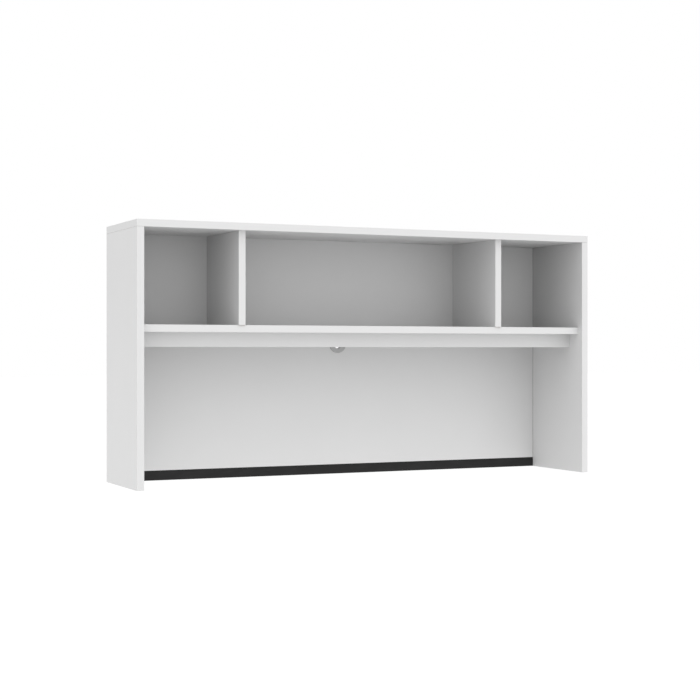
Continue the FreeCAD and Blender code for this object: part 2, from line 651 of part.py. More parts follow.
def band(label, axis, width, height, x, y, z, outer_axis, outer_at, long_axis):
    """A strip of edge banding with the edges of its outer face rounded along its length."""
    body = board(label, axis, "Sizes.band_thick", width, height, x, y, z)
    index = "XYZ".index(outer_axis)
    long_index = "XYZ".index(long_axis)

    def on_outer_face(middle, span):
        at_face = abs(middle[index] - length_of(outer_at)) < 0.001
        return at_face and abs(span[long_index]) > 1

    round_edges(body, "Sizes.band_round", on_outer_face)


def make_top_bands():
    """Banding on all four edges of the top."""
    thick = "Sizes.panel_thick"
    end_long = "(Sizes.unit_depth - 2 * Sizes.band_thick)"
    second_row = f"({FRONT} + Sizes.band_thick)"
    band("top_front_band", "Y", "Sizes.unit_width", thick, LEFT, FRONT, SIDE_HEIGHT,
         "Y", "0", "X")
    band("top_rear_band", "Y", "Sizes.unit_width", thick, LEFT, f"({REAR} - Sizes.band_thick)",
         SIDE_HEIGHT, "Y", "Sizes.band_thick", "X")
    band("top_left_band", "X", end_long, thick, LEFT, second_row, SIDE_HEIGHT, "X", "0", "Y")
    band("top_right_band", "X", end_long, thick, f"(-{LEFT} - Sizes.band_thick)", second_row,
         SIDE_HEIGHT, "X", "Sizes.band_thick", "Y")


def make_side_bands(side):
    """Banding on a side's front and rear edges."""
    corner = LEFT if side == "left" else INNER_RIGHT
    thick = "Sizes.panel_thick"
    band(f"{side}_side_front_band", "Y", thick, SIDE_HEIGHT, corner, FRONT, "0", "Y", "0", "Z")
    band(f"{side}_side_rear_band", "Y", thick, SIDE_HEIGHT, corner,
         f"({REAR} - Sizes.band_thick)", "0", "Y", "Sizes.band_thick", "Z")


def make_shelf_band():
    """Banding on the shelf's front edge."""
    band("shelf_front_band", "Y", INNER_WIDTH, "Sizes.panel_thick", INNER_LEFT,
         f"({FRONT} + Sizes.shelf_setback)", SHELF_UNDERSIDE, "Y", "0", "X")


def make_divider_band(side, sign):
    """Banding on a divider's front edge."""
    band(f"{side}_divider_front_band", "Y", "Sizes.panel_thick", DIVIDER_HEIGHT,
         f"({sign} * {DIVIDER_CENTRE} - Sizes.panel_thick / 2)",
         f"({FRONT} + Sizes.divider_setback)", "Sizes.shelf_top", "Y", "0", "Z")


def make_rail_band():
    """Banding on the rail's lower edge."""
    band("rail_lower_band", "Z", INNER_WIDTH, "Sizes.back_thick", INNER_LEFT,
         f"({RAIL_REAR} - Sizes.back_thick)", RAIL_BOTTOM, "Z", "0", "X")


# ---------------------------------------------------------------- dowels, screws, cams, brackets


def make_dowels():
    """Beech dowels in the panel joints, drawn along Z from the end that sits in a face."""
    master = new_body("dowel_master")
    radius = "(Sizes.dowel_diameter / 2)"
    tip = f"({radius} - Sizes.dowel_chamfer)"
    turned_profile(master, [
        ("0", "0"), (tip, "0"), (radius, "Sizes.dowel_chamfer"),
        (radius, "(Sizes.dowel_length - Sizes.dowel_chamfer)"),
        (tip, "Sizes.dowel_length"), ("0", "Sizes.dowel_length"),
    ])
    columns = [
        f"({sign} * {centre})" for _, sign in BOTH_SIDES for centre in (SIDE_CENTRE, DIVIDER_CENTRE)
    ]
    stations = [f"({FRONT} + {station})" for station in DOWEL_STATIONS]
    copies("top_dowels", master, [
        (x, y, f"({SIDE_HEIGHT} + Sizes.dowel_in_face)", "-Z", "+X")
        for x in columns for y in stations
    ])
    copies("divider_dowels", master, [
        (f"({sign} * {DIVIDER_CENTRE})", y, "(Sizes.shelf_top - Sizes.dowel_in_face)", "+Z", "+X")
        for _, sign in BOTH_SIDES for y in stations
    ])
    copies("shelf_dowels", master, end_places(stations, [SHELF_MIDDLE]))
    copies("rail_dowels", master, end_places([RAIL_MIDDLE], rail_heights()))


def end_places(stations, heights):
    """Dowels that lie along X in both ends of a panel between the sides."""
    places = []
    for side, sign in BOTH_SIDES:
        start = f"({sign} * ({INNER_RIGHT} + Sizes.dowel_in_face))"
        inward = "+X" if side == "left" else "-X"
        places += [(start, y, z, inward, "+Y") for y in stations for z in heights]
    return places


def make_joint_screws():
    """Screws with a hexagon socket, from the top of the head along Z, and their caps."""
    screw = new_body("joint_screw_master")
    head = "(Sizes.joint_screw_head_diameter / 2)"
    shoulder = "(Sizes.joint_screw_shoulder_diameter / 2)"
    thread = "(Sizes.joint_screw_thread_diameter / 2)"
    cone_start = "(Sizes.joint_screw_head_depth / 3)"
    turned_profile(screw, [
        ("0", "0"), (head, "0"), (head, cone_start), (shoulder, "Sizes.joint_screw_head_depth"),
        (shoulder, "Sizes.joint_screw_shoulder_end"), (thread, "Sizes.joint_screw_shoulder_end"),
        (thread, f"(Sizes.joint_screw_length - {thread})"), ("0", "Sizes.joint_screw_length"),
    ])
    socket = new_sketch(screw, "SocketOutline", "Z", "0")
    across = "(Sizes.joint_screw_socket / 2)"
    slant = f"({across} / sqrt(3))"
    draw_outline(socket, [
        (across, f"(-{slant})"), (across, slant), ("0", f"(2 * {slant})"),
        (f"(-{across})", slant), (f"(-{across})", f"(-{slant})"), ("0", f"(-2 * {slant})"),
    ])
    pocket(screw, socket, "Z", "Sizes.joint_screw_socket_depth", "+", "Socket")

    cap = new_body("screw_cap_master")
    rim = "(Sizes.cap_diameter / 2)"
    turned_profile(cap, [
        ("0", "0"), (f"({rim} - Sizes.cap_edge)", "0"), (rim, "Sizes.cap_edge"),
        (rim, "Sizes.cap_thick"), ("0", "Sizes.cap_thick"),
    ])

    columns = [
        f"({sign} * {centre})" for _, sign in BOTH_SIDES for centre in (SIDE_CENTRE, DIVIDER_CENTRE)
    ]
    stations = [f"({FRONT} + {station})" for station in SCREW_STATIONS]
    head_height = "(Sizes.unit_height - Sizes.cap_well_depth)"
    foot_height = f"({SHELF_UNDERSIDE} + Sizes.cap_well_depth)"
    above = [(x, y) for x in columns for y in stations]
    below = [(f"({sign} * {DIVIDER_CENTRE})", y) for _, sign in BOTH_SIDES for y in stations]
    copies("top_joint_screws", screw, [(x, y, head_height, "-Z", "+X") for x, y in above])
    copies("top_screw_caps", cap, [(x, y, "Sizes.unit_height", "-Z", "+X") for x, y in above])
    copies("divider_joint_screws", screw, [(x, y, foot_height, "+Z", "+X") for x, y in below])
    copies("divider_screw_caps", cap, [(x, y, SHELF_UNDERSIDE, "+Z", "+X") for x, y in below])


def make_cam_master(label, thick):
    """A cam housing for a panel of this thickness: Z goes in, its side bore faces X."""
    cam = new_body(label)
    rim = "(Sizes.cam_diameter / 2)"
    depth = f"({thick} / 2 + Sizes.cam_past_bolt)"
    turned_profile(cam, [("0", "0"), (rim, "0"), (rim, depth), ("0", depth)], "Housing")
    half_long = "(Sizes.cam_slot_long / 2)"
    half_wide = "(Sizes.cam_slot_wide / 2)"
    arms = (("AcrossX", half_long, half_wide), ("AcrossY", half_wide, half_long))
    for name, half_x, half_y in arms:
        arm = new_sketch(cam, f"Arm{name}", "Z", "0")
        draw_rectangle(arm, f"(2 * {half_x})", f"(2 * {half_y})", f"(-{half_x})", f"(-{half_y})")
        pocket(cam, arm, "Z", "Sizes.cam_slot_depth", "+", f"Slot{name}")
    drill(cam, "BoltBore", "X", "(-Sizes.cam_bore_past_centre)", "+", "Sizes.cam_bore_diameter",
          "(Sizes.cam_bore_past_centre + Sizes.cam_diameter)", [("0", f"({thick} / 2)")])
    return cam


def make_cam_bolt_master():
    """A cam bolt: its thread points along Z, the joint between the panels is at its origin."""
    bolt = new_body("cam_bolt_master")
    neck = "(Sizes.cam_bolt_diameter / 2)"
    waist = "(Sizes.cam_bolt_waist_diameter / 2)"
    thread = "(Sizes.cam_bolt_thread_diameter / 2)"
    head_end = "(-Sizes.cam_setback - Sizes.cam_bolt_past_centre)"
    waist_start = f"({head_end} + Sizes.cam_bolt_head_long)"
    neck_start = f"({waist_start} + Sizes.cam_bolt_waist_long)"
    point_start = f"(Sizes.cam_bolt_thread_long - {thread})"
    turned_profile(bolt, [
        ("0", head_end), (neck, head_end), (neck, waist_start), (waist, waist_start),
        (waist, neck_start), (neck, neck_start), (neck, "0"), (thread, "0"),
        (thread, point_start), ("0", "Sizes.cam_bolt_thread_long"),
    ])
    return bolt


def make_cams():
    """Cams and bolts that pull the shelf to the sides, and the back to the sides and top."""
    shelf_cam = make_cam_master("shelf_cam_master", "Sizes.panel_thick")
    back_cam = make_cam_master("back_cam_master", "Sizes.back_thick")
    bolt = make_cam_bolt_master()
    stations = [f"({FRONT} + {station})" for station in SCREW_STATIONS]
    shelf_cams = []
    shelf_bolts = []
    back_cams = []
    back_bolts = []
    for side, sign in BOTH_SIDES:
        outward = "-X" if side == "left" else "+X"
        joint = f"({sign} * {INNER_RIGHT})"
        cam_centre = f"({sign} * ({INNER_RIGHT} - Sizes.cam_setback))"
        for y in stations:
            shelf_cams.append((cam_centre, y, SHELF_UNDERSIDE, "+Z", outward))
            shelf_bolts.append((joint, y, SHELF_MIDDLE, outward, "+Y"))
        for z in back_cam_heights():
            back_cams.append((cam_centre, REAR, z, "-Y", outward))
            back_bolts.append((joint, BACK_MIDDLE, z, outward, "+Y"))
        for across in ("Sizes.back_cam_inner", "Sizes.back_cam_outer"):
            x = f"({sign} * {across})"
            back_cams.append((x, REAR, f"({SIDE_HEIGHT} - Sizes.cam_setback)", "-Y", "+Z"))
            back_bolts.append((x, BACK_MIDDLE, SIDE_HEIGHT, "+Z", "+X"))
    copies("shelf_cams", shelf_cam, shelf_cams)
    copies("shelf_cam_bolts", bolt, shelf_bolts)
    copies("back_cams", back_cam, back_cams)
    copies("back_cam_bolts", bolt, back_bolts)


def make_back_screws():
    """Wafer head screws through the back panel into the shelf and the dividers."""
    screw = new_body("back_screw_master")
    head = "(Sizes.back_screw_head_diameter / 2)"
    shank = "(Sizes.back_screw_diameter / 2)"
    turned_profile(screw, [
        ("0", "0"), (head, "0"), (head, "(Sizes.back_screw_head_thick / 2)"),
        (shank, "Sizes.back_screw_head_thick"),
        (shank, f"(Sizes.back_screw_length - 2 * {shank})"), ("0", "Sizes.back_screw_length"),
    ])
    head_face = f"({REAR} - (Sizes.back_screw_well - Sizes.back_screw_head_thick))"
    copies("back_screws", screw, [(x, head_face, z, "-Y", "+X") for x, z in back_screw_places()])


def make_brackets():
    """Steel angle brackets that join the rail to the shelf from behind, with their screws."""
    bracket = new_body("bracket_master")
    outline = new_sketch(bracket, "AngleOutline", "X", "(-Sizes.bracket_wide / 2)")
    draw_outline(outline, [
        ("0", "0"), ("Sizes.bracket_leg", "0"), ("Sizes.bracket_leg", "(-Sizes.bracket_sheet)"),
        ("Sizes.bracket_sheet", "(-Sizes.bracket_sheet)"),
        ("Sizes.bracket_sheet", "(-Sizes.bracket_leg)"), ("0", "(-Sizes.bracket_leg)"),
    ])
    pad(bracket, outline, "X", "Sizes.bracket_wide", "Angle")
    sheet_thick = length_of("Sizes.bracket_sheet")

    def inside_bend(middle, span):
        return abs(middle.y - sheet_thick) < 0.001 and abs(middle.z + sheet_thick) < 0.001

    round_edges(bracket, "Sizes.bracket_bend", inside_bend, "Bend")
    hole = "Sizes.bracket_hole_diameter"
    drill(bracket, "UpperHole", "Z", "0", "-", hole, "Sizes.bracket_sheet",
          [("0", "Sizes.bracket_hole_station")])
    drill(bracket, "RailHole", "Y", "0", "+", hole, "Sizes.bracket_sheet",
          [("0", "(-Sizes.bracket_hole_station)")])

    screw = new_body("bracket_screw_master")
    head = "(Sizes.bracket_screw_head_diameter / 2)"
    shank = "(Sizes.bracket_screw_diameter / 2)"
    tall = "Sizes.bracket_screw_head_thick"
    turned_profile(screw, [
        ("0", f"(-{tall})"), (f"({head} * 0.6)", f"(-{tall})"), (head, f"(-{tall} * 0.4)"),
        (head, "0"), (shank, "0"), (shank, f"(Sizes.bracket_screw_length - 2 * {shank})"),
        ("0", "Sizes.bracket_screw_length"),
    ])

    brackets = []
    screws = []
    for _, sign in BOTH_SIDES:
        for across in ("Sizes.bracket_inner", "Sizes.bracket_outer"):
            x = f"({sign} * {across})"
            brackets.append((x, RAIL_REAR, SHELF_UNDERSIDE, "+Z", "+X"))
            screws.append((
                x, f"({RAIL_REAR} + Sizes.bracket_hole_station)",
                f"({SHELF_UNDERSIDE} - Sizes.bracket_sheet)", "+Z", "+X",
            ))
            screws.append((
                x, f"({RAIL_REAR} + Sizes.bracket_sheet)",
                f"({SHELF_UNDERSIDE} - Sizes.bracket_hole_station)", "-Y", "+X",
            ))
    copies("rail_brackets", bracket, brackets)
    copies("rail_bracket_screws", screw, screws)


# ---------------------------------------------------------------- cable flap along the desk

STRIP_BASE_BOTTOM = "(Sizes.strip_tall - Sizes.strip_base_thick)"
LEG_BOTTOM = f"({STRIP_BASE_BOTTOM} - Sizes.strip_leg_tall)"
FLAP_AXIS_HEIGHT = f"({LEG_BOTTOM} - Sizes.flap_axis_drop)"


def make_strip_base():
    """The strip's stiff base: a barbed rib in the back's kerf, a foot and a short front leg."""
    body = new_node(
        "cable_strip_base", f"({INNER_LEFT} + Sizes.strip_end_gap)", BACK_FACE, "0"
    )
    profile = new_sketch(body, "BaseProfile", "X", "0")
    rib_front = "(Sizes.back_thick / 2 - Sizes.rib_wide / 2)"
    rib_rear = "(Sizes.back_thick / 2 + Sizes.rib_wide / 2)"
    barb_front = "(Sizes.back_thick / 2 - Sizes.kerf_wide / 2)"
    barb_rear = "(Sizes.back_thick / 2 + Sizes.kerf_wide / 2)"
    front_side = []
    rear_side = []
    for step in ("0.3", "0.6", "0.9"):
        barb_height = f"(Sizes.strip_tall + {step} * Sizes.rib_tall)"
        above_barb = f"({barb_height} + 0.1 * Sizes.rib_tall)"
        front_side += [(rib_front, barb_height), (barb_front, barb_height), (rib_front, above_barb)]
        rear_side += [(rib_rear, barb_height), (barb_rear, barb_height), (rib_rear, above_barb)]
    draw_outline(profile, [
        ("0", LEG_BOTTOM), ("0", "Sizes.strip_tall"), (rib_front, "Sizes.strip_tall"),
        *front_side, *reversed(rear_side), (rib_rear, "Sizes.strip_tall"),
        ("Sizes.back_thick", "Sizes.strip_tall"), ("Sizes.back_thick", STRIP_BASE_BOTTOM),
        ("Sizes.flap_thick", STRIP_BASE_BOTTOM), ("Sizes.flap_thick", LEG_BOTTOM),
    ])
    long = f"({INNER_WIDTH} - 2 * Sizes.strip_end_gap)"
    pad(body, profile, "X", long, "Base")
    groove = "(Sizes.flap_thick + 2 * Sizes.flap_groove_clearance)"
    drill(body, "FlapGroove", "X", "0", "+", groove, long,
          [("(Sizes.flap_thick / 2)", FLAP_AXIS_HEIGHT)])


def make_flap():
    """The rubber flap: a round head in the base's groove and a flat blade down to the desk."""
    body = new_node("cable_flap", f"({INNER_LEFT} + Sizes.flap_end_gap)", BACK_FACE, "0")
    long = f"({INNER_WIDTH} - 2 * Sizes.flap_end_gap)"
    blade = new_sketch(body, "BladeProfile", "X", "0")
    blade_tall = f"({FLAP_AXIS_HEIGHT} - Sizes.flap_desk_gap)"
    draw_rectangle(blade, "Sizes.flap_thick", blade_tall, "0", "Sizes.flap_desk_gap")
    pad(body, blade, "X", long, "Blade")
    gap = length_of("Sizes.flap_desk_gap")

    def lower_long_edge(middle, span):
        return abs(middle.z - gap) < 0.001 and abs(span.x) > 10

    round_edges(body, "Sizes.flap_toe_round", lower_long_edge, "Toe")
    head = new_sketch(body, "HeadProfile", "X", "0")
    draw_circles(head, "Sizes.flap_thick", [("(Sizes.flap_thick / 2)", FLAP_AXIS_HEIGHT)])
    pad(body, head, "X", long, "Head")


# ---------------------------------------------------------------- cable grommet

BARREL_RADIUS = "(Sizes.barrel_diameter / 2)"
HOOK_START = "(Sizes.turning_cap_gap + Sizes.ledge_thick + Sizes.turning_cap_gap)"


def new_grommet_piece(label):
    """A grommet node whose own Z runs to the rear, from the back panel's front face."""
    body = new_node(label, "0", BACK_FACE, "Sizes.grommet_height")
    body.Placement.Rotation = turned("+Y", "+X")
    return body


def make_grommet_liner():
    """The liner: a flange on the back's face, a barrel through it and a ledge for the cap."""
    body = new_grommet_piece("grommet_liner")
    flange = "(Sizes.flange_diameter / 2)"
    recess = "(Sizes.cap_recess_diameter / 2)"
    ledge = "(Sizes.ledge_diameter / 2)"
    bore = "(Sizes.barrel_bore_diameter / 2)"
    front = "(-Sizes.flange_thick)"
    ledge_front = "Sizes.turning_cap_gap"
    ledge_rear = "(Sizes.turning_cap_gap + Sizes.ledge_thick)"
    turned_profile(body, [
        (recess, front), (flange, front), (flange, "0"), (BARREL_RADIUS, "0"),
        (BARREL_RADIUS, "Sizes.barrel_length"), (bore, "Sizes.barrel_length"),
        (bore, ledge_rear), (ledge, ledge_rear), (ledge, ledge_front), (recess, ledge_front),
    ], "Liner")
    rim = length_of(flange)
    face = length_of(front)

    def flange_rim(middle, span):
        at_rim = abs(FreeCAD.Vector(middle.x, middle.y, 0).Length - rim) < 0.001
        return at_rim and abs(middle.z - face) < 0.001

    round_edges(body, "Sizes.flange_round", flange_rim, "FlangeRim")


def make_grommet_cap():
    """The turning cap: a disc with an off-centre cable opening, a skirt and three hooks."""
    body = new_grommet_piece("grommet_cap")
    disc = new_sketch(body, "DiscOutline", "Z", "(-Sizes.flange_thick)")
    draw_circles(disc, "Sizes.turning_cap_diameter", [("0", "0")])
    pad(body, disc, "Z", "Sizes.flange_thick", "Disc")

    opening = [("0", "Sizes.cable_opening_drop")]
    skirt = new_sketch(body, "SkirtOutline", "Z", "(-Sizes.flange_thick / 2)")
    draw_circles(skirt, "(Sizes.cable_opening_diameter + 2 * Sizes.skirt_wall)", opening)
    pad(body, skirt, "Z", "(Sizes.flange_thick / 2 + Sizes.skirt_length)", "Skirt")
    drill(body, "CableOpening", "Z", "(-Sizes.flange_thick)", "+", "Sizes.cable_opening_diameter",
          "(Sizes.flange_thick + Sizes.skirt_length)", opening)
    face = length_of("-Sizes.flange_thick")
    drop = length_of("Sizes.cable_opening_drop")
    rim = length_of("Sizes.cable_opening_diameter / 2")

    def opening_rim(middle, span):
        at_rim = abs(FreeCAD.Vector(middle.x, middle.y - drop, 0).Length - rim) < 0.001
        return at_rim and abs(middle.z - face) < 0.001

    round_edges(body, "Sizes.cable_opening_round", opening_rim, "OpeningRim")

    leg = "(Sizes.hook_radius + Sizes.hook_thick)"
    barb = f"({leg} + Sizes.hook_reach)"
    barb_end = f"({HOOK_START} + 2 * Sizes.hook_reach)"
    hook = turned_profile(body, [
        ("Sizes.hook_radius", "(-Sizes.flange_thick / 2)"), (leg, "(-Sizes.flange_thick / 2)"),
        (leg, HOOK_START), (barb, HOOK_START), (leg, barb_end), ("Sizes.hook_radius", barb_end),
    ], "Hook")
    hook.setExpression("Angle", "Sizes.hook_angle")
    hook.Midplane = True
    around = body.newObject("PartDesign::PolarPattern", "Hooks")
    around.Originals = [hook]
    around.Axis = (hook.Profile[0], ["V_Axis"])
    around.Angle = 360
    around.Occurrences = 3
    body.Tip = around


# ---------------------------------------------------------------- the whole hutch

make_top()
for side_name, _ in BOTH_SIDES:
    make_side(side_name)
make_shelf()
for side_name, side_sign in BOTH_SIDES:
    make_divider(side_name, side_sign)
make_back()
make_rail()

make_top_bands()
for side_name, side_sign in BOTH_SIDES:
    make_side_bands(side_name)
    make_divider_band(side_name, side_sign)
make_shelf_band()
make_rail_band()

make_dowels()
make_joint_screws()
make_cams()
make_back_screws()
make_brackets()

make_strip_base()
make_flap()
make_grommet_liner()
make_grommet_cap()

doc.recompute()

# ---------------------------------------------------------------- checks, then one file per node

for item in doc.Objects:
    if "Invalid" in item.State or "Error" in item.State:
        raise RuntimeError(f"{item.Label} did not recompute: {item.State}")
for before, feature in cuts:
    if feature.Shape.Volume > before.Shape.Volume - 1:
        raise RuntimeError(f"{feature.getParentGeoFeatureGroup().Label} {feature.Label} cuts nothing")
for node in nodes:
    if node.Shape.isNull() or not node.Shape.isValid():
        raise RuntimeError(f"{node.Label} has no valid shape")

os.makedirs("parts", exist_ok=True)
for node in nodes:
    node.Shape.exportStep(f"parts/{node.Label}.step")
    box = node.Shape.BoundBox
    print(f"{node.Label:26s} solids {len(node.Shape.Solids):2d}  "
          f"x {box.XMin:8.2f} {box.XMax:8.2f}  y {box.YMin:8.2f} {box.YMax:8.2f}  "
          f"z {box.ZMin:7.2f} {box.ZMax:7.2f}")
print(len(nodes), "nodes")
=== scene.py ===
# %% [markdown]
# # A white desk hutch with cubbies, a cable grommet and a black cable strip
#
# The hutch stands along the back of a desk. Three open cubbies sit over a wide
# bay, a rail stiffens the shelf between them, a small grommet lets cables
# through the back panel, and a black rubber strip closes the gap above the
# desk top, so that cables can slip out under it.
#
# The panels and the joinery come from the CAD model, which is loaded here as a
# fixed frame: every board keeps the place that the CAD gives it. This script
# gives each of them a real finish, and models again the few pieces whose looks
# need more than the CAD holds: the soft strip, the moulded grommet, the caps
# over the joint screws and the screws with a cross recess.

# %% Load the CAD frame
import json
import math

import bmesh
import bpy
from mathutils import Matrix, Vector


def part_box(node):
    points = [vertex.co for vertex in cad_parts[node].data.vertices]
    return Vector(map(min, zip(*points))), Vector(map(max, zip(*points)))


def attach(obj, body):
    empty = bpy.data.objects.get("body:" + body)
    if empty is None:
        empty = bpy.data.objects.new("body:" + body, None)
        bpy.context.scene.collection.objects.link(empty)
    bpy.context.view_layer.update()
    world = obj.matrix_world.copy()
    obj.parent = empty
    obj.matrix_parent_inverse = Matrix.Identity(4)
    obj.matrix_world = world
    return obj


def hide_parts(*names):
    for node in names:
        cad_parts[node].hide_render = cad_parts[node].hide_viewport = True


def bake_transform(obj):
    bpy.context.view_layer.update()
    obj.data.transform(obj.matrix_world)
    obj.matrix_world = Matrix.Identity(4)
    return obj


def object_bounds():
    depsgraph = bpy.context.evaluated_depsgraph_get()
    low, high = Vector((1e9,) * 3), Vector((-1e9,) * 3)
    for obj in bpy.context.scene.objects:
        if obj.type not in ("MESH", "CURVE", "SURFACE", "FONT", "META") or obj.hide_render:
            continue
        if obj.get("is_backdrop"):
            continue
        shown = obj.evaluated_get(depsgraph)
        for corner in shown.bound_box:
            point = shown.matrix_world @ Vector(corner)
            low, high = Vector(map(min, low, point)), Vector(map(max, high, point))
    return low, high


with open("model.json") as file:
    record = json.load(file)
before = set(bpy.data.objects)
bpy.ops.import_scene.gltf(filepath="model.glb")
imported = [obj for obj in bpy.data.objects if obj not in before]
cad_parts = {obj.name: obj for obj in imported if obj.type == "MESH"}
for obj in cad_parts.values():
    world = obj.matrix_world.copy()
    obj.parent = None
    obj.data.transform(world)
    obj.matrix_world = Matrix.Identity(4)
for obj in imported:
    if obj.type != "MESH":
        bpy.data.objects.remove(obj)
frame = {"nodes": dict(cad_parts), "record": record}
nodes = frame["nodes"]
cad_low, cad_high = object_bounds()
mm = 0.001
print("hutch in millimetres:", [round(side / mm, 1) for side in cad_high - cad_low])


def joint_place(name):
    """Where the record puts a moving joint."""
    joints = frame["record"]["behaviour"]["joints"]
    return next(Vector(joint["pos_m"]) for joint in joints if joint["name"] == name)


# %% [markdown]
# ## Camera
#
# The hutch is seen from the front left, level, from below the height of its
# shelf, so the undersides of the shelf and of the top show and the top's upper
# face doesn't. A long lens a good way off keeps the boards' edges calm. The
# camera is placed from the left front corner of the CAD box.

# %% Place the camera
camera_left_of_hutch = 1.436
camera_before_hutch = 4.770
camera_height = 0.4732
camera_turn = math.radians(25)

lens = bpy.data.cameras.new("studio_camera")
lens.sensor_width = 36
lens.lens = 75.6
camera = bpy.data.objects.new("studio_camera", lens)
camera.location = (
    cad_low.x - camera_left_of_hutch,
    cad_low.y - camera_before_hutch,
    camera_height,
)
camera.rotation_euler = (math.radians(90), 0, -camera_turn)
bpy.context.scene.collection.objects.link(camera)
bpy.context.scene.camera = camera
print("camera at", [round(value, 3) for value in camera.location])

# %% [markdown]
# ## A short way to write shader nodes
#
# A procedural finish is a sum of small ideas: "a little rougher where the noise
# is high". Nodes can be added one by one, but the idea then drowns in sockets.
# A `Wire` stands for the value on a socket, and ordinary sums on wires add the
# Math nodes, so a finish reads like a formula. A `Finish` holds one material
# while it is made, and its `node` method adds every other kind of node.

# %% Wires that can be added and multiplied
class Wire:
    """A value that flows out of a shader node."""

    def __init__(self, finish, socket):
        self.finish = finish
        self.socket = socket

    def math(self, operation, *values):
        return self.finish.node("Math", {"operation": operation}, dict(enumerate(values)))

    def __add__(self, other):
        return self.math("ADD", self, other)

    def __radd__(self, other):
        return self.math("ADD", other, self)

    def __sub__(self, other):
        return self.math("SUBTRACT", self, other)

    def __rsub__(self, other):
        return self.math("SUBTRACT", other, self)

    def __mul__(self, other):
        return self.math("MULTIPLY", self, other)

    def __rmul__(self, other):
        return self.math("MULTIPLY", other, self)

    def __pow__(self, power):
        return self.math("POWER", self, power)

    def __abs__(self):
        return self.math("ABSOLUTE", self)

    def __lt__(self, limit):
        return self.math("LESS_THAN", self, limit)

    def __gt__(self, limit):
        return self.math("GREATER_THAN", self, limit)


# %% A finish under construction
def grey(value):
    """A neutral colour."""
    return (value, value, value, 1)


class Finish:
    """A material, or the studio's sky, while its nodes are made."""

    def __init__(self, owner):
        owner.use_nodes = True
        self.owner = owner
        self.tree = owner.node_tree
        self.shader = self.tree.nodes.get("Principled BSDF")

    def node(self, kind, settings=None, sockets=None, output=0):
        """Adds a node, sets it up, feeds its sockets and gives one of its outputs."""
        made = self.tree.nodes.new("ShaderNode" + kind)
        for key, setting in (settings or {}).items():
            if key == "stops":
                set_stops(made.color_ramp, setting)
            else:
                setattr(made, key, setting)
        for key, value in (sockets or {}).items():
            self.feed(made, key, value)
        if not made.outputs:
            return made
        return Wire(self, made.outputs[output])

    def feed(self, node, key, value):
        """Sets one socket to a plain value or joins a wire to it."""
        if isinstance(value, Wire):
            self.tree.links.new(value.socket, node.inputs[key])
        else:
            node.inputs[key].default_value = value

    def paint(self, **channels):
        """Feeds the shader: base_color=..., roughness=... and so on."""
        for channel, value in channels.items():
            socket = channel.replace("_", " ").title().replace("Ior", "IOR")
            self.feed(self.shader, socket, value)

    def blend(self, share, first, second):
        """A colour that goes from the first to the second as share goes from 0 to 1."""
        settings = {"data_type": "RGBA"}
        return self.node("Mix", settings, {0: share, 6: first, 7: second}, 2)


def set_stops(ramp, stops):
    """Puts a list of (position, colour) stops on a colour ramp."""
    while len(ramp.elements) < len(stops):
        ramp.elements.new(0.5)
    for element, (position, colour) in zip(ramp.elements, stops):
        element.position = position
        element.color = colour


def new_finish(name, roughness, metallic=0.0):
    """Starts a material; a pattern can take the place of the even roughness."""
    finish = Finish(bpy.data.materials.new(name))
    finish.paint(roughness=roughness, metallic=metallic)
    finish.place = finish.node("TexCoord", output="Object")
    finish.facing = finish.node("TexCoord", output="Normal")
    return finish


# %% Patterns that most finishes share
def noise(finish, size, detail=2.0, stretch=(1, 1, 1)):
    """Soft noise whose lumps are about `size` metres, longer along a stretched axis."""
    scale = [1 / (size * factor) for factor in stretch]
    place = finish.node("Mapping", sockets={"Vector": finish.place, "Scale": scale})
    sockets = {"Vector": place, "Scale": 1.0, "Detail": detail, "Roughness": 0.55}
    return finish.node("TexNoise", sockets=sockets)


def along(finish, axis, vector=None):
    """One coordinate of the surface point, or of another vector: 0 is X, 1 is Y, 2 is Z."""
    return finish.node("SeparateXYZ", sockets={0: vector or finish.place}, output=axis)


def line_across(finish, axis, level, half_width):
    """1 in a thin line where a joint crosses the surface, 0 elsewhere."""
    return abs(along(finish, axis) - level) < half_width


def bump(finish, height, depth, under=None):
    """Raises the surface by `depth` metres where height is 1."""
    sockets = {"Height": height, "Distance": depth, "Strength": 1.0}
    if under:
        sockets["Normal"] = under
    return finish.node("Bump", sockets=sockets)


print("shader helpers ready")

# %% [markdown]
# ## The studio
#
# White furniture needs soft light from all round, or its faces turn grey and
# its inner corners black. A few big area lamps would do, but each one leaves
# its own shadow edge in the cubbies. Here the whole sky is the lamp: an even
# dome, a broad soft panel overhead and a weaker one in front, each fading out
# as a power of the cosine. The middle of the overhead panel is left out, as in
# a ring of lamps, or the hutch's top would burn out. The camera sees plain
# white behind the hutch.

# %% Light the sky
dome_strength = 0.595
overhead_strength = 3.30
front_strength = 0.56
panel_softness = 4
middle_softness = 12
front_lift = math.radians(12)

sky = Finish(bpy.data.worlds.new("studio_sky"))
sky.tree.nodes.clear()
sky_way = sky.node("TexCoord", output="Generated")


def soft_panel(towards, strength, softness=panel_softness):
    """Light that is strongest in one direction and fades out softly around it."""
    settings = {"operation": "DOT_PRODUCT"}
    cosine = sky.node("VectorMath", settings, {0: sky_way, 1: towards}, "Value")
    return strength * cosine.math("MAXIMUM", cosine, 0.0) ** softness


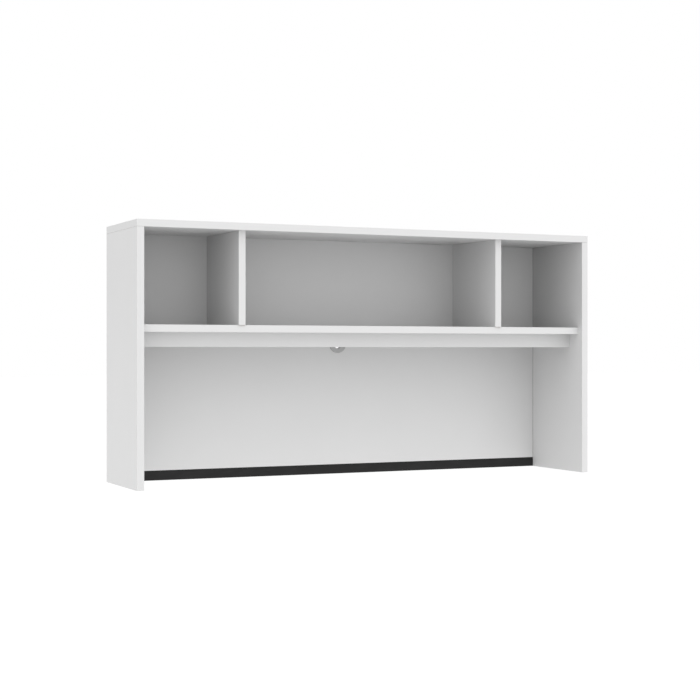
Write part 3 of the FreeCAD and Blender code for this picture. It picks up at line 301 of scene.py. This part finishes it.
overhead = soft_panel((0, 0, 1), overhead_strength)
middle = soft_panel((0, 0, 1), overhead_strength, middle_softness)
front = soft_panel((0, -math.cos(front_lift), math.sin(front_lift)), front_strength)
strength = dome_strength + (overhead - middle) + front
light = sky.node("Background", sockets={"Color": grey(1.0), "Strength": strength})
backdrop = sky.node("Background", sockets={"Color": grey(1.0), "Strength": 1.0})
seen = sky.node("LightPath", output="Is Camera Ray")
sky_shader = sky.node("MixShader", sockets={0: seen, 1: light, 2: backdrop})
sky.node("OutputWorld", sockets={"Surface": sky_shader})
bpy.context.scene.world = sky.owner
print("sky lit by", len(sky.tree.nodes), "nodes")

# %% [markdown]
# ## The floor and the picture's tones
#
# A white floor throws a lot of light back up under the shelf, and it must look
# white itself. A plain diffuse floor would show every faint shadow as a dirty
# patch, so this one glows a little and reflects a little: it lights the hutch
# from below and keeps only a trace of shadow. Light bounces once between
# boards, which keeps the cubbies' corners deep, and the "Standard" view shows
# the tones as they are.

# %% Lay the floor and set the tones
floor_size = 40
floor_glow = 0.90
floor_glow_seen = 1.0
floor_albedo = 0.04
bounces_between_boards = 1

floor_mesh = bpy.data.meshes.new("studio_floor")
work = bmesh.new()
bmesh.ops.create_grid(work, x_segments=1, y_segments=1, size=floor_size / 2)
work.to_mesh(floor_mesh)
work.free()
floor = bpy.data.objects.new("studio_floor", floor_mesh)
bpy.context.scene.collection.objects.link(floor)

pale_floor = new_finish("pale_floor", roughness=0.9)
seen = pale_floor.node("LightPath", output="Is Camera Ray")
glow = pale_floor.blend(seen, grey(floor_glow), grey(floor_glow_seen))
pale_floor.paint(specular_ior_level=0.0, emission_strength=1.0, emission_color=glow)
drift = noise(pale_floor, 0.9)
pale_floor.paint(base_color=pale_floor.blend(drift, grey(floor_albedo), grey(floor_albedo * 0.8)))
floor_mesh.materials.append(pale_floor.owner)
floor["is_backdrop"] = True

bpy.context.scene.cycles.diffuse_bounces = bounces_between_boards
bpy.context.scene.view_settings.view_transform = "Standard"
print("floor of", floor_size, "m")

# %% [markdown]
# ## White laminate over chipboard
#
# The boards are chipboard faced with white melamine paper. The paper isn't
# glass smooth: it is pressed against a plate with a fine pebble, so highlights
# break up, and hands and cloths leave the sheen a little uneven. Where a drill
# or a saw went through, the brown flakes of the core show. One finish does
# both: it looks at which way the surface faces, and where it doesn't face
# along the board's thickness it shows the core. A face that lies upwards is
# greyed unevenly: partly a thin film of dust, partly painted shade that keeps
# the top, lit hard from overhead, from burning out.
#
# Boards that only meet leave a hair line: the sides stop under the top, and
# the back ends at the sides and behind the dividers. A line is drawn where a
# face crosses the joint's plane, and it can be kept to the faces near the
# middle, so that a line inside the hutch doesn't show on its outer sides. In
# the inner corners, where the back meets the sides and the dividers, the lines
# are wider than a joint and are partly painted corner shade.

# %% Laminate and core
laminate_white = 0.76
laminate_drift = 0.015
pebble_size = 1.1 * mm
pebble_depth = 0.010 * mm
flake_size = 2.6 * mm
speck_grey = 0.55
speck_cover = 0.03
# Greying of upward faces: partly dust, partly painted shade.
dust_and_shade_grey = 0.45
dust_and_shade_least = 0.14
dust_and_shade_more = 0.26
# Dark joint lines; the wide ones in the inner corners by the back are partly painted corner
# shade.
joint_and_corner_shade_grey = 0.12
joint_and_corner_shade_cover = 0.75
joint_line = 0.30 * mm
open_joint_and_corner_shade = 0.9 * mm
corner_joint_and_shade = 1.3 * mm
everywhere = 10.0


def core_colour(finish):
    """Chipboard: pressed flakes of every wood brown, with dark gaps between them."""
    sockets = {"Vector": finish.place, "Scale": 1 / flake_size, "Randomness": 1.0}
    flakes = finish.node("TexVoronoi", sockets=sockets, output="Color")
    browns = [(0.0, (0.20, 0.11, 0.05, 1)), (0.45, (0.42, 0.27, 0.14, 1)),
              (1.0, (0.66, 0.49, 0.30, 1))]
    wood = finish.node("ValToRGB", {"stops": browns}, {0: along(finish, 0, flakes)})
    settings = {"feature": "DISTANCE_TO_EDGE"}
    gap = finish.node("TexVoronoi", settings, sockets, output="Distance")
    return finish.blend(gap < 0.04, wood, (0.10, 0.06, 0.03, 1))


def joint_and_corner_shade_lines(finish, colour, joints):
    """Dark lines where joints, (axis, level, half width, widest x), cross the surface; the wide
    ones in inner corners are partly painted corner shade.
    """
    for axis, level, half_width, widest in joints:
        line = line_across(finish, axis, level, half_width)
        line = line * line_across(finish, 0, 0.0, widest)
        colour = finish.blend(line * joint_and_corner_shade_cover, colour, grey(joint_and_corner_shade_grey))
    return colour


def white_laminate(name, thickness_axis, joints=()):
    """Laminate for a board of one thickness axis, with its joints' hair lines."""
    finish = new_finish(name, roughness=0.44)
    cloud = noise(finish, 180 * mm)
    pebble = noise(finish, pebble_size)
    handled = noise(finish, 60 * mm, detail=3)
    specks = noise(finish, 7 * mm, detail=4)
    dark = grey(laminate_white * (1 - laminate_drift))
    pale = grey(laminate_white * (1 + laminate_drift))
    paper = finish.blend(cloud, dark, pale)
    paper = finish.blend((specks > 0.70) * speck_cover, paper, grey(speck_grey))
    # Upward faces of the top and shelf are greyed: partly a dust film, partly painted shade
    # against the strong overhead light.
    if thickness_axis == 2:
        lying = along(finish, 2, finish.facing) > 0.5
        dust_and_shade_film = lying * (dust_and_shade_least + dust_and_shade_more * handled)
        paper = finish.blend(dust_and_shade_film, paper, grey(dust_and_shade_grey))
    paper = joint_and_corner_shade_lines(finish, paper, joints)
    cut = abs(along(finish, thickness_axis, finish.facing)) < 0.5
    finish.paint(
        base_color=finish.blend(cut, paper, core_colour(finish)),
        roughness=0.40 + 0.08 * handled + 0.03 * pebble + 0.4 * cut,
        normal=bump(finish, cut * noise(finish, flake_size) * 20 + pebble, pebble_depth),
    )
    return finish.owner


def dress(node, material):
    """Gives a CAD node its finish."""
    for material_slot in nodes[node].material_slots:
        material_slot.material = material


back_low, back_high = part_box("back_panel")
under_top = (2, back_high.z, joint_line, everywhere)
# Inner corners by the back: lines wider than a joint, partly painted corner shade.
before_back_and_corner_shade = (1, back_low.y, corner_joint_and_shade, back_high.x + 1 * mm)
beside_sides_and_corner_shade = [(0, end, open_joint_and_corner_shade, everywhere) for end in (back_low.x, back_high.x)]
boards_across_x = white_laminate("white_laminate_sides", 0, [under_top, before_back_and_corner_shade])
boards_across_y = white_laminate("white_laminate_back", 1, beside_sides_and_corner_shade)
rail_white = white_laminate("white_laminate_rail", 1)
boards_across_z = white_laminate("white_laminate_shelf", 2)
for node in ("left_side_panel", "right_side_panel", "left_divider_panel", "right_divider_panel"):
    dress(node, boards_across_x)
dress("back_panel", boards_across_y)
dress("rail_panel", rail_white)
for node in ("top_panel", "shelf_panel"):
    dress(node, boards_across_z)
print("laminate on 8 boards")

# %% [markdown]
# ## Edge banding
#
# Every edge that shows is closed with a 2 mm strip of white plastic, glued on
# hot, trimmed and buffed, with its outer edges rounded. It is a touch brighter
# and glossier than the faces, the buffing wheel leaves faint streaks along it,
# and the glue leaves a fine grey line where it meets the board. Each strip gets
# its own copy of the finish, because its glue line lies in its own plane.

# %% Banding
banding_white = 0.765
glue_half_width = 0.07 * mm
buffed_long = 60
hutch_middle = (cad_low + cad_high) / 2


def edge_banding(node, length_axis, out_axis, joints=()):
    """Banding that runs along one axis and faces out along another."""
    finish = new_finish("edge_banding_" + node.removesuffix("_band"), roughness=0.34)
    stretch = [1, 1, 1]
    stretch[length_axis] = buffed_long
    streaks = noise(finish, 0.5 * mm, detail=3, stretch=stretch)
    cloud = noise(finish, 90 * mm)
    two_faces = [corner[out_axis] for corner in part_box(node)]
    glued_face = min(two_faces, key=lambda level: abs(level - hutch_middle[out_axis]))
    glue = line_across(finish, out_axis, glued_face, glue_half_width)
    plastic = finish.blend(cloud, grey(banding_white * 0.99), grey(banding_white * 1.01))
    plastic = finish.blend(glue * 0.6, plastic, grey(0.30))
    plastic = joint_and_corner_shade_lines(finish, plastic, joints)
    finish.paint(
        base_color=plastic,
        roughness=0.30 + 0.10 * streaks,
        normal=bump(finish, streaks, 0.004 * mm),
    )
    dress(node, finish.owner)


for node in ("top_front_band", "top_rear_band", "shelf_front_band"):
    edge_banding(node, 0, 1)
for node in ("top_left_band", "top_right_band"):
    edge_banding(node, 1, 0)
for side in ("left", "right"):
    edge_banding(side + "_side_front_band", 2, 1, [under_top])
    edge_banding(side + "_side_rear_band", 2, 1, [under_top])
    edge_banding(side + "_divider_front_band", 2, 1)
edge_banding("rail_lower_band", 0, 2)
print("banding on", sum("_band" in name for name in nodes), "edges")

# %% [markdown]
# ## Metal and wood of the joinery
#
# The cams are die-cast zinc: dull, a little grainy, with a skin that shines
# only where the mould was smooth. Screws, bolts and angle brackets are steel
# with a thin zinc plate, brighter and faintly blue, with cloudy patches from
# the bath. The dowels are beech, with short dark flecks along the grain. All
# three are the same idea with other numbers: a base colour that drifts, and a
# roughness and a bump that follow finer noise.

# %% Cast zinc, plated steel and beech
def cast_zinc():
    finish = new_finish("cast_zinc", roughness=0.5, metallic=1.0)
    skin = noise(finish, 2.5 * mm, detail=4)
    grain = noise(finish, 0.25 * mm, detail=2)
    finish.paint(
        base_color=finish.blend(skin, (0.44, 0.45, 0.46, 1), (0.58, 0.58, 0.59, 1)),
        roughness=0.38 + 0.28 * skin,
        normal=bump(finish, grain + skin, 0.02 * mm),
    )
    return finish.owner


def plated_steel():
    finish = new_finish("zinc_plated_steel", roughness=0.32, metallic=1.0)
    bath = noise(finish, 6 * mm, detail=3)
    handled = noise(finish, 0.8 * mm, detail=3)
    finish.paint(
        base_color=finish.blend(bath, (0.60, 0.64, 0.68, 1), (0.74, 0.74, 0.72, 1)),
        roughness=0.24 + 0.20 * handled,
        normal=bump(finish, handled, 0.008 * mm),
    )
    return finish.owner


def beech():
    finish = new_finish("beech", roughness=0.6)
    grain = noise(finish, 0.7 * mm, detail=4, stretch=(14, 1, 14))
    stops = [(0.55, grey(0.0)), (0.68, grey(1.0))]
    flecks = finish.node("ValToRGB", {"stops": stops}, {0: noise(finish, 0.4 * mm)})
    wood = finish.blend(grain, (0.62, 0.43, 0.26, 1), (0.74, 0.56, 0.37, 1))
    finish.paint(
        base_color=finish.blend(0.5 * along(finish, 0, flecks), wood, (0.36, 0.21, 0.11, 1)),
        roughness=0.55 + 0.15 * grain,
        normal=bump(finish, grain, 0.05 * mm),
    )
    return finish.owner


zinc = cast_zinc()
steel = plated_steel()
dowel_wood = beech()
for node in ("shelf_cams", "back_cams"):
    dress(node, zinc)
for node in ("top_joint_screws", "divider_joint_screws", "shelf_cam_bolts", "back_cam_bolts",
             "rail_brackets"):
    dress(node, steel)
for node in ("top_dowels", "divider_dowels", "shelf_dowels", "rail_dowels"):
    dress(node, dowel_wood)
print("joinery dressed")

# %% [markdown]
# ## Rubber and moulded plastic
#
# The strip is black rubber, pushed through a die, so it carries faint lines
# along its length, and dust clings to it as a grey bloom. The grommet and the
# caps over the screws are moulded plastic with a spark-eroded texture: an even
# matt grain, a little finer and harder than the laminate's pebble. The walls
# inside the grommet that lie along its axis are darkened: painted shade.

# %% Rubber
def black_rubber():
    finish = new_finish("black_rubber", roughness=0.6)
    finish.paint(specular_ior_level=0.25)
    die_lines = noise(finish, 0.35 * mm, detail=2, stretch=(400, 1, 1))
    grain = noise(finish, 0.5 * mm, detail=3)
    bloom = noise(finish, 22 * mm, detail=5, stretch=(3, 1, 1))
    stops = [(0.45, grey(0.0)), (0.80, grey(1.0))]
    dust = finish.node("ValToRGB", {"stops": stops}, {0: bloom})
    rubber = finish.blend(die_lines, grey(0.014), grey(0.020))
    finish.paint(
        base_color=finish.blend(0.08 * along(finish, 0, dust), rubber, grey(0.12)),
        roughness=0.52 + 0.14 * grain + 0.08 * bloom,
        normal=bump(finish, grain, 0.015 * mm, bump(finish, die_lines, 0.02 * mm)),
    )
    return finish.owner


# %% Moulded plastic
def moulded_plastic(name, value, roughness, tint=1.0, shaded_walls_along=None):
    """Spark-eroded plastic of one grey; tint below 1 warms it.

    Walls that lie along the given axis are darkened: painted shade in the grommet's opening."""
    finish = new_finish(name, roughness=roughness)
    grain = noise(finish, 0.30 * mm, detail=2)
    flow = noise(finish, 9 * mm, detail=2)
    worn = noise(finish, 1.6 * mm, detail=4)
    dark = (value * 0.96, value * 0.96, value * 0.96 * tint, 1)
    pale = (value * 1.04, value * 1.04, value * 1.04 * tint, 1)
    plastic = finish.blend(flow, dark, pale)
    # Painted shade: walls that lie along the axis are darkened.
    if shaded_walls_along is not None:
        painted_wall_shade = 1.0 - abs(along(finish, shaded_walls_along, finish.facing))
        plastic = finish.blend(0.85 * painted_wall_shade, plastic, grey(0.2 * value))
    finish.paint(
        base_color=plastic,
        roughness=roughness - 0.05 + 0.08 * grain + 0.06 * (worn > 0.62),
        normal=bump(finish, grain, 0.012 * mm),
    )
    return finish.owner


rubber = black_rubber()
# The grommet's walls along its axis get painted shade.
grey_plastic = moulded_plastic("grey_plastic", 0.50, 0.42, shaded_walls_along=1)
white_plastic = moulded_plastic("white_plastic", 0.78, 0.36, tint=0.985)
print("rubber and plastics ready")

# %% [markdown]
# ## Tools for new pieces
#
# A new piece is grown in a bmesh from a simple start: an outline of a few
# points that is turned round an axis, or a small grid that is drawn out. It is
# made once, facing +Z at the origin, and then set down wherever the CAD has
# one, so eight caps are one shape in eight places. `solids_of` finds those
# places: it welds a copy of a CAD node and measures each separate solid.

# %% Where the CAD has its solids
def solids_of(node):
    """The (lowest, highest) corners of each separate solid in a CAD node, from left to right."""
    welded = bmesh.new()
    welded.from_mesh(nodes[node].data)
    bmesh.ops.remove_doubles(welded, verts=welded.verts, dist=0.001 * mm)
    waiting = set(welded.verts)
    found = []
    while waiting:
        group = [waiting.pop()]
        corners = []
        while group:
            vert = group.pop()
            corners.append(vert.co.copy())
            beside = {edge.other_vert(vert) for edge in vert.link_edges} & waiting
            waiting -= beside
            group.extend(beside)
        low = Vector(min(corner[axis] for corner in corners) for axis in range(3))
        high = Vector(max(corner[axis] for corner in corners) for axis in range(3))
        found.append((low, high))
    welded.free()
    return sorted(found, key=lambda solid: tuple(solid[0]))


def facing_place(solid, towards):
    """The middle of the side of a solid that faces a direction."""
    low, high = solid
    half = (high - low) / 2
    towards = Vector(towards)
    return (low + high) / 2 + Vector(half[axis] * towards[axis] for axis in range(3))


# %% From a bmesh to a piece of the hutch
def add_piece(name, work, material, smooth_below=35):
    """Turns a finished bmesh into an object, smooth but for its sharp edges."""
    bmesh.ops.remove_doubles(work, verts=work.verts, dist=0.0005 * mm)
    bmesh.ops.recalc_face_normals(work, faces=work.faces)
    mesh = bpy.data.meshes.new(name)
    work.to_mesh(mesh)
    work.free()
    mesh.shade_smooth()
    mesh.set_sharp_from_angle(angle=math.radians(smooth_below))
    mesh.materials.append(material)
    piece = bpy.data.objects.new(name, mesh)
    bpy.context.scene.collection.objects.link(piece)
    print(name, "has", len(mesh.polygons), "faces")
    return piece


def set_down(shape, places):
    """One bmesh with a copy of the shape at each (position, facing)."""
    together = bmesh.new()
    pattern = bpy.data.meshes.new("pattern")
    shape.to_mesh(pattern)
    shape.free()
    for position, facing in places:
        turn = Vector((0, 0, 1)).rotation_difference(Vector(facing)).to_matrix().to_4x4()
        copy = pattern.copy()
        copy.transform(Matrix.Translation(position) @ turn)
        together.from_mesh(copy)
        bpy.data.meshes.remove(copy)
    bpy.data.meshes.remove(pattern)
    return together


def turned(outline, rounded=None, segments=48, angle=math.tau):
    """Turns an outline of (radius, height) points round the Z axis.

    `rounded` gives a radius for some of the outline's corners, by their place
    in it. A side of the outline that lies on the axis closes itself."""
    work = bmesh.new()
    corners = [work.verts.new((radius, 0, height)) for radius, height in outline]
    work.faces.new(corners)
    for corner, radius in (rounded or {}).items():
        bmesh.ops.bevel(
            work,
            geom=[corners[corner]],
            offset=radius,
            offset_type="OFFSET",
            affect="VERTICES",
            segments=4,
            profile=0.5,
            material=-1,
        )
    on_axis = [
        edge for edge in work.edges if all(abs(vert.co.x) < 0.001 * mm for vert in edge.verts)
    ]
    if angle == math.tau:
        bmesh.ops.delete(work, geom=list(work.faces), context="FACES_ONLY")
        bmesh.ops.delete(work, geom=on_axis, context="EDGES")
    bmesh.ops.spin(
        work,
        geom=work.verts[:] + work.edges[:] + work.faces[:],
        cent=(0, 0, 0),
        axis=(0, 0, 1),
        angle=angle,
        steps=segments,
        use_merge=angle == math.tau,
    )
    bmesh.ops.remove_doubles(work, verts=work.verts, dist=0.0005 * mm)
    return work

# %% [markdown]
# ## The black cable strip
#
# On the real hutch this is one length of rubber. A barbed rib along its top is
# pressed into a saw kerf under the back panel, a thin base lies against the
# panel's lower edge, and a flap hangs from the base's front down to the desk.
# A plug pushed at the flap bends it. Its section is the same all along, so the
# outline is drawn once, its outer corners are rounded, and it is drawn out
# across the hutch. The CAD holds it as a base and a hinged flap; here it is one
# piece, with rows of points where it would bend: a plane cuts it again and
# again between the base and the blade.

# %% Outline of the strip
base_low, base_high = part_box("cable_strip_base")
flap_low, flap_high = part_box("cable_flap")
strip_front = flap_low.y
flap_rear = flap_high.y
strip_rear = base_high.y
foot_top = back_low.z
foot_thick = 3.0 * mm
foot_bottom = foot_top - foot_thick
rib_middle = (strip_front + strip_rear) / 2
rib_half = 1.2 * mm
barb_half = 1.7 * mm
rib_tall = base_high.z - foot_top

rib_rear_side = [(rib_half, foot_top)]
for share in (0.3, 0.6, 0.9):
    barb = foot_top + share * rib_tall
    rib_rear_side += [(rib_half, barb), (barb_half, barb), (rib_half, barb + 0.1 * rib_tall)]
strip_outline = [
    (strip_front, flap_low.z),
    (flap_rear, flap_low.z),
    (flap_rear, foot_bottom),
    (strip_rear, foot_bottom),
    (strip_rear, foot_top),
    *[(rib_middle + half, height) for half, height in rib_rear_side],
    *[(rib_middle - half, height) for half, height in reversed(rib_rear_side)],
    (strip_front, foot_top),
]
print("strip outline of", len(strip_outline), "points")

# %% Draw the strip out and cut its bending rows
toe_round = 1.2 * mm
corner_round = 0.3 * mm
bend_height = joint_place("cable_flap_bend").z
bend_top = bend_height + 3 * mm
bend_bottom = bend_height - 4 * mm
bend_rows = 15
groove_depth = 0.35 * mm
close_by = 0.1 * mm

work = bmesh.new()
corners = [work.verts.new((flap_low.x, y, z)) for y, z in strip_outline]
work.faces.new(corners)
rounding = ((corners[:2], toe_round), (corners[3:5] + corners[-1:], corner_round))
for rounded_corners, radius in rounding:
    bmesh.ops.bevel(
        work,
        geom=rounded_corners,
        offset=radius,
        offset_type="OFFSET",
        affect="VERTICES",
        segments=5,
        profile=0.5,
        material=-1,
    )
drawn = bmesh.ops.extrude_face_region(work, geom=work.faces[:])
far_end = [part for part in drawn["geom"] if isinstance(part, bmesh.types.BMVert)]
bmesh.ops.translate(work, verts=far_end, vec=(flap_high.x - flap_low.x, 0, 0))
for row in range(bend_rows):
    height = bend_bottom + (bend_top - bend_bottom) * row / (bend_rows - 1)
    everything = work.verts[:] + work.edges[:] + work.faces[:]
    bmesh.ops.bisect_plane(work, geom=everything, plane_co=(0, 0, height), plane_no=(0, 0, 1))
groove_height = (bend_top + bend_bottom) / 2
groove = [
    vert for vert in work.verts
    if abs(vert.co.z - groove_height) < close_by and abs(vert.co.y - strip_front) < close_by
]
bmesh.ops.translate(work, verts=groove, vec=(0, groove_depth, 0))
strip = add_piece("cable_strip", work, rubber)
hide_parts("cable_strip_base", "cable_flap")
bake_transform(strip)

# %% [markdown]
# ## The cable grommet
#
# The grommet is two moulded pieces. The liner is a ring with a flange over the
# edge of the hole, and a ledge inside. The cap lies in the liner and turns, so
# that its off-centre opening can be low for a cable that hangs or high for one
# that runs up; three hooks behind it hold on to the ledge. The liner is an
# outline turned round its axis. The cap's opening has its own centre, so it
# can't be turned: a circle is extruded again and again, and each new circle is
# scaled and moved to the next station, round the rim, over the face and down
# the opening.

# %% The liner
liner_low, liner_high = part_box("grommet_liner")
grommet_centre = (liner_low + liner_high) / 2
grommet_front = Vector((grommet_centre.x, liner_low.y, grommet_centre.z))
towards_front = (0, -1, 0)
flange_radius = (liner_high.x - liner_low.x) / 2
flange_thick = back_low.y - liner_low.y
liner_deep = liner_high.y - liner_low.y
recess_radius = 28.56 * mm
barrel_radius = 29.9 * mm
bore_radius = 27.6 * mm
ledge_radius = 26.0 * mm
ledge_front = flange_thick + 0.3 * mm
ledge_rear = flange_thick + 1.9 * mm

liner_shape = turned(
    [
        (recess_radius, 0),
        (flange_radius, 0),
        (flange_radius, -flange_thick),
        (barrel_radius, -flange_thick),
        (barrel_radius, -liner_deep),
        (bore_radius, -liner_deep),
        (bore_radius, -ledge_rear),
        (ledge_radius, -ledge_rear),
        (ledge_radius, -ledge_front),
        (recess_radius, -ledge_front),
    ],
    rounded={0: 0.3 * mm, 1: 1.2 * mm, 2: 0.2 * mm, 4: 0.5 * mm, 8: 0.3 * mm},
    segments=96,
)
liner = add_piece("grommet_liner_ring", set_down(liner_shape, [(grommet_front, towards_front)]),
                  grey_plastic)
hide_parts("grommet_liner")
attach(liner, "hutch")

# %% The turning cap
turning_low, turning_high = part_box("grommet_cap")
cap_radius = (turning_high.x - turning_low.x) / 2
cap_deep = turning_high.y - turning_low.y
cap_thick = flange_thick
opening_radius = 14.0 * mm
opening_drop = 4.0 * mm
skirt_wall = 1.5 * mm
rim_round = 0.5 * mm
lip_round = 0.8 * mm


def quarter_round(radius, drop, turn_from, size, inwards):
    """Circles over a rounded edge: from the flat face, `size` down and out or in."""
    steps = (0.0, 0.3, 0.6, 0.85, 1.0)
    side = -1 if inwards else 1
    return [
        (radius + side * size * math.sin(math.pi / 2 * step), drop,
         turn_from - size * (1 - math.cos(math.pi / 2 * step)))
        for step in steps
    ]


cap_circles = [
    (cap_radius, 0, -cap_thick),
    *reversed(quarter_round(cap_radius - rim_round, 0, 0, rim_round, inwards=False)),
    *quarter_round(opening_radius + lip_round, -opening_drop, 0, lip_round, inwards=True),
    (opening_radius, -opening_drop, -cap_deep),
    (opening_radius + skirt_wall, -opening_drop, -cap_deep),
    (opening_radius + skirt_wall, -opening_drop, -cap_thick),
    (cap_radius, 0, -cap_thick),
]


def grown_ring(work, loop):
    """Extrudes a closed loop of edges: gives the new loop's points and its edges."""
    grown = bmesh.ops.extrude_edge_only(work, edges=loop)["geom"]
    points = [part for part in grown if isinstance(part, bmesh.types.BMVert)]
    ring = set(points)
    edges = [
        part for part in grown
        if isinstance(part, bmesh.types.BMEdge) and ring.issuperset(part.verts)
    ]
    return points, edges


def lofted(circles, segments):
    """A closed skin over circles given as (radius, sideways shift, height)."""
    work = bmesh.new()
    radius, shift, height = circles[0]
    start = Matrix.Translation((0, shift, height))
    bmesh.ops.create_circle(work, segments=segments, radius=radius, matrix=start)
    loop = work.edges[:]
    for next_radius, next_shift, next_height in circles[1:]:
        ring, loop = grown_ring(work, loop)
        wider = next_radius / radius
        around = Matrix.Translation((0, -shift, -height))
        bmesh.ops.scale(work, verts=ring, vec=(wider, wider, 1), space=around)
        step = (0, next_shift - shift, next_height - height)
        bmesh.ops.translate(work, verts=ring, vec=step)
        radius, shift, height = next_radius, next_shift, next_height
    return work


cap_shape = lofted(cap_circles, segments=96)
print("cap skin:", len(cap_shape.faces), "faces")

# %% The cap's hooks
hook_inner = 24.3 * mm
hook_outer = 25.7 * mm
barb_outer = 26.9 * mm
hook_angle = math.radians(24)
barb_top = -(ledge_rear + 0.3 * mm)
hook_end = barb_top - 2.4 * mm

hook_shape = turned(
    [
        (hook_inner, -cap_thick),
        (hook_outer, -cap_thick),
        (hook_outer, barb_top),
        (barb_outer, barb_top),
        (hook_outer, hook_end),
        (hook_inner, hook_end),
    ],
    rounded={3: 0.2 * mm, 4: 0.3 * mm},
    segments=8,
    angle=hook_angle,
)
half_back = Matrix.Rotation(-hook_angle / 2, 3, "Z")
bmesh.ops.rotate(hook_shape, verts=hook_shape.verts[:], cent=(0, 0, 0), matrix=half_back)
hook_mesh = bpy.data.meshes.new("hook")
hook_shape.to_mesh(hook_mesh)
hook_shape.free()
for turn in range(3):
    copy = hook_mesh.copy()
    copy.transform(Matrix.Rotation(math.tau * turn / 3, 4, "Z"))
    cap_shape.from_mesh(copy)
    bpy.data.meshes.remove(copy)
turning_cap = add_piece(
    "grommet_turning_cap",
    set_down(cap_shape, [(grommet_front, towards_front)]),
    grey_plastic,
)
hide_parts("grommet_cap")
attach(turning_cap, "grommet_cap")

# %% [markdown]
# ## Caps over the joint screws
#
# The screws that draw the top down on the sides and the dividers sit in wells,
# and each well is closed with a small white cap. A moulded cap isn't a plain
# disc: its edge is eased, its face is very slightly domed so that it doesn't
# look sunk, and a shallow ring marks where it was gated. The outline below has
# all three, and it is turned once.

# %% Turn the caps
cap_low, cap_high = solids_of("top_screw_caps")[0]
plug_radius = (cap_high.x - cap_low.x) / 2
plug_thick = cap_high.z - cap_low.z
plug_edge = 0.4 * mm
dome = 0.12 * mm
ring_radius = 0.45 * plug_radius
ring_half = 0.35 * mm


def screw_cap():
    """A cap that faces +Z, with the top of its dome at the origin."""
    return turned(
        [
            (0, -dome),
            (ring_radius - ring_half, -dome),
            (ring_radius, -2 * dome),
            (ring_radius + ring_half, -dome),
            (0.72 * plug_radius, -0.1 * dome),
            (plug_radius, -2 * dome),
            (plug_radius, -plug_thick),
            (0, -plug_thick),
        ],
        rounded={5: plug_edge, 2: 0.1 * mm},
        segments=40,
    )


for node, towards in (("top_screw_caps", (0, 0, 1)), ("divider_screw_caps", (0, 0, -1))):
    places = [(facing_place(solid, towards), towards) for solid in solids_of(node)]
    caps = add_piece(node + "_domed", set_down(screw_cap(), places), white_plastic)
    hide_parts(node)
    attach(caps, "hutch")

# %% [markdown]
# ## Screws with a cross recess
#
# Screws hold the back panel to the shelf and the dividers, and the rail's
# brackets to the boards. What makes a screw read as a screw is the cross in
# its head. A small grid gives the head's middle: the squares that make a plus
# sign are pushed in and drawn together towards the point of the driver. The
# grid's rim is then drawn out on to a circle, and circle after circle follows
# down the head and the shank to the tip.

# %% A screw that faces +Z
grid_cells = 6
cross_share = 0.36
recess_taper = 0.55


def cross_screw(outline, recess):
    """A screw whose outline is (radius, height) points from its head's flat to its tip."""
    work = bmesh.new()
    head_radius, head_height = outline[0]
    half = cross_share * max(radius for radius, _ in outline)
    flat = Matrix.Translation((0, 0, head_height))
    bmesh.ops.create_grid(
        work,
        x_segments=grid_cells,
        y_segments=grid_cells,
        size=half,
        matrix=flat,
    )
    cell = 2 * half / grid_cells
    arm_half = cell
    arm_long = 2 * cell
    plus = []
    for face in work.faces:
        near, far = sorted(abs(place) for place in face.calc_center_median().xy)
        if near < arm_half and far < arm_long:
            plus.append(face)
    rim = [edge for edge in work.edges if edge.is_boundary]
    sunk = bmesh.ops.extrude_face_region(work, geom=plus)["geom"]
    bmesh.ops.delete(work, geom=plus, context="FACES_ONLY")
    floor_of_cross = [part for part in sunk if isinstance(part, bmesh.types.BMVert)]
    bmesh.ops.translate(work, verts=floor_of_cross, vec=(0, 0, -recess))
    taper = (recess_taper, recess_taper, 1)
    bmesh.ops.scale(work, verts=floor_of_cross, vec=taper)
    for radius, height in outline:
        ring, rim = grown_ring(work, rim)
        for vert in ring:
            vert.co = vert.co.xy.normalized().to_3d() * radius + Vector((0, 0, height))
    bmesh.ops.remove_doubles(work, verts=work.verts, dist=0.001 * mm)
    return work


# %% Set the screws down
def screw_outline(solid, towards, head_radius, head_thick, shank_radius):
    """The outline of a screw as long as the CAD's solid along its axis."""
    low, high = solid
    length = abs((high - low).dot(Vector(towards)))
    return [
        (0.80 * head_radius, 0),
        (0.93 * head_radius, -0.07 * head_thick),
        (head_radius, -0.30 * head_thick),
        (head_radius, -0.60 * head_thick),
        (shank_radius, -head_thick),
        (shank_radius, 2 * shank_radius - length),
        (0.0002 * mm, -length),
    ]


def axis_to_head(solid):
    """Screws that lie along Y have their head to the rear; the others face down."""
    low, high = solid
    size = high - low
    return (0, 1, 0) if size.y > size.z else (0, 0, -1)


for node, head_radius, head_thick, shank_radius in (
    ("back_screws", 4.0 * mm, 2.2 * mm, 2.0 * mm),
    ("rail_bracket_screws", 3.5 * mm, 2.2 * mm, 1.75 * mm),
):
    solids = solids_of(node)
    shape = cross_screw(
        screw_outline(solids[0], axis_to_head(solids[0]), head_radius, head_thick, shank_radius),
        recess=0.6 * head_thick,
    )
    places = [(facing_place(solid, axis_to_head(solid)), axis_to_head(solid)) for solid in solids]
    screws = add_piece(node + "_crossed", set_down(shape, places), steel, smooth_below=28)
    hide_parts(node)
    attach(screws, "hutch")

# %% Measure the finished hutch against the CAD
low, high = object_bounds()
differences = [abs(value) / mm for value in (*(low - cad_low), *(high - cad_high))]
print("largest difference in mm:", round(max(differences), 3))
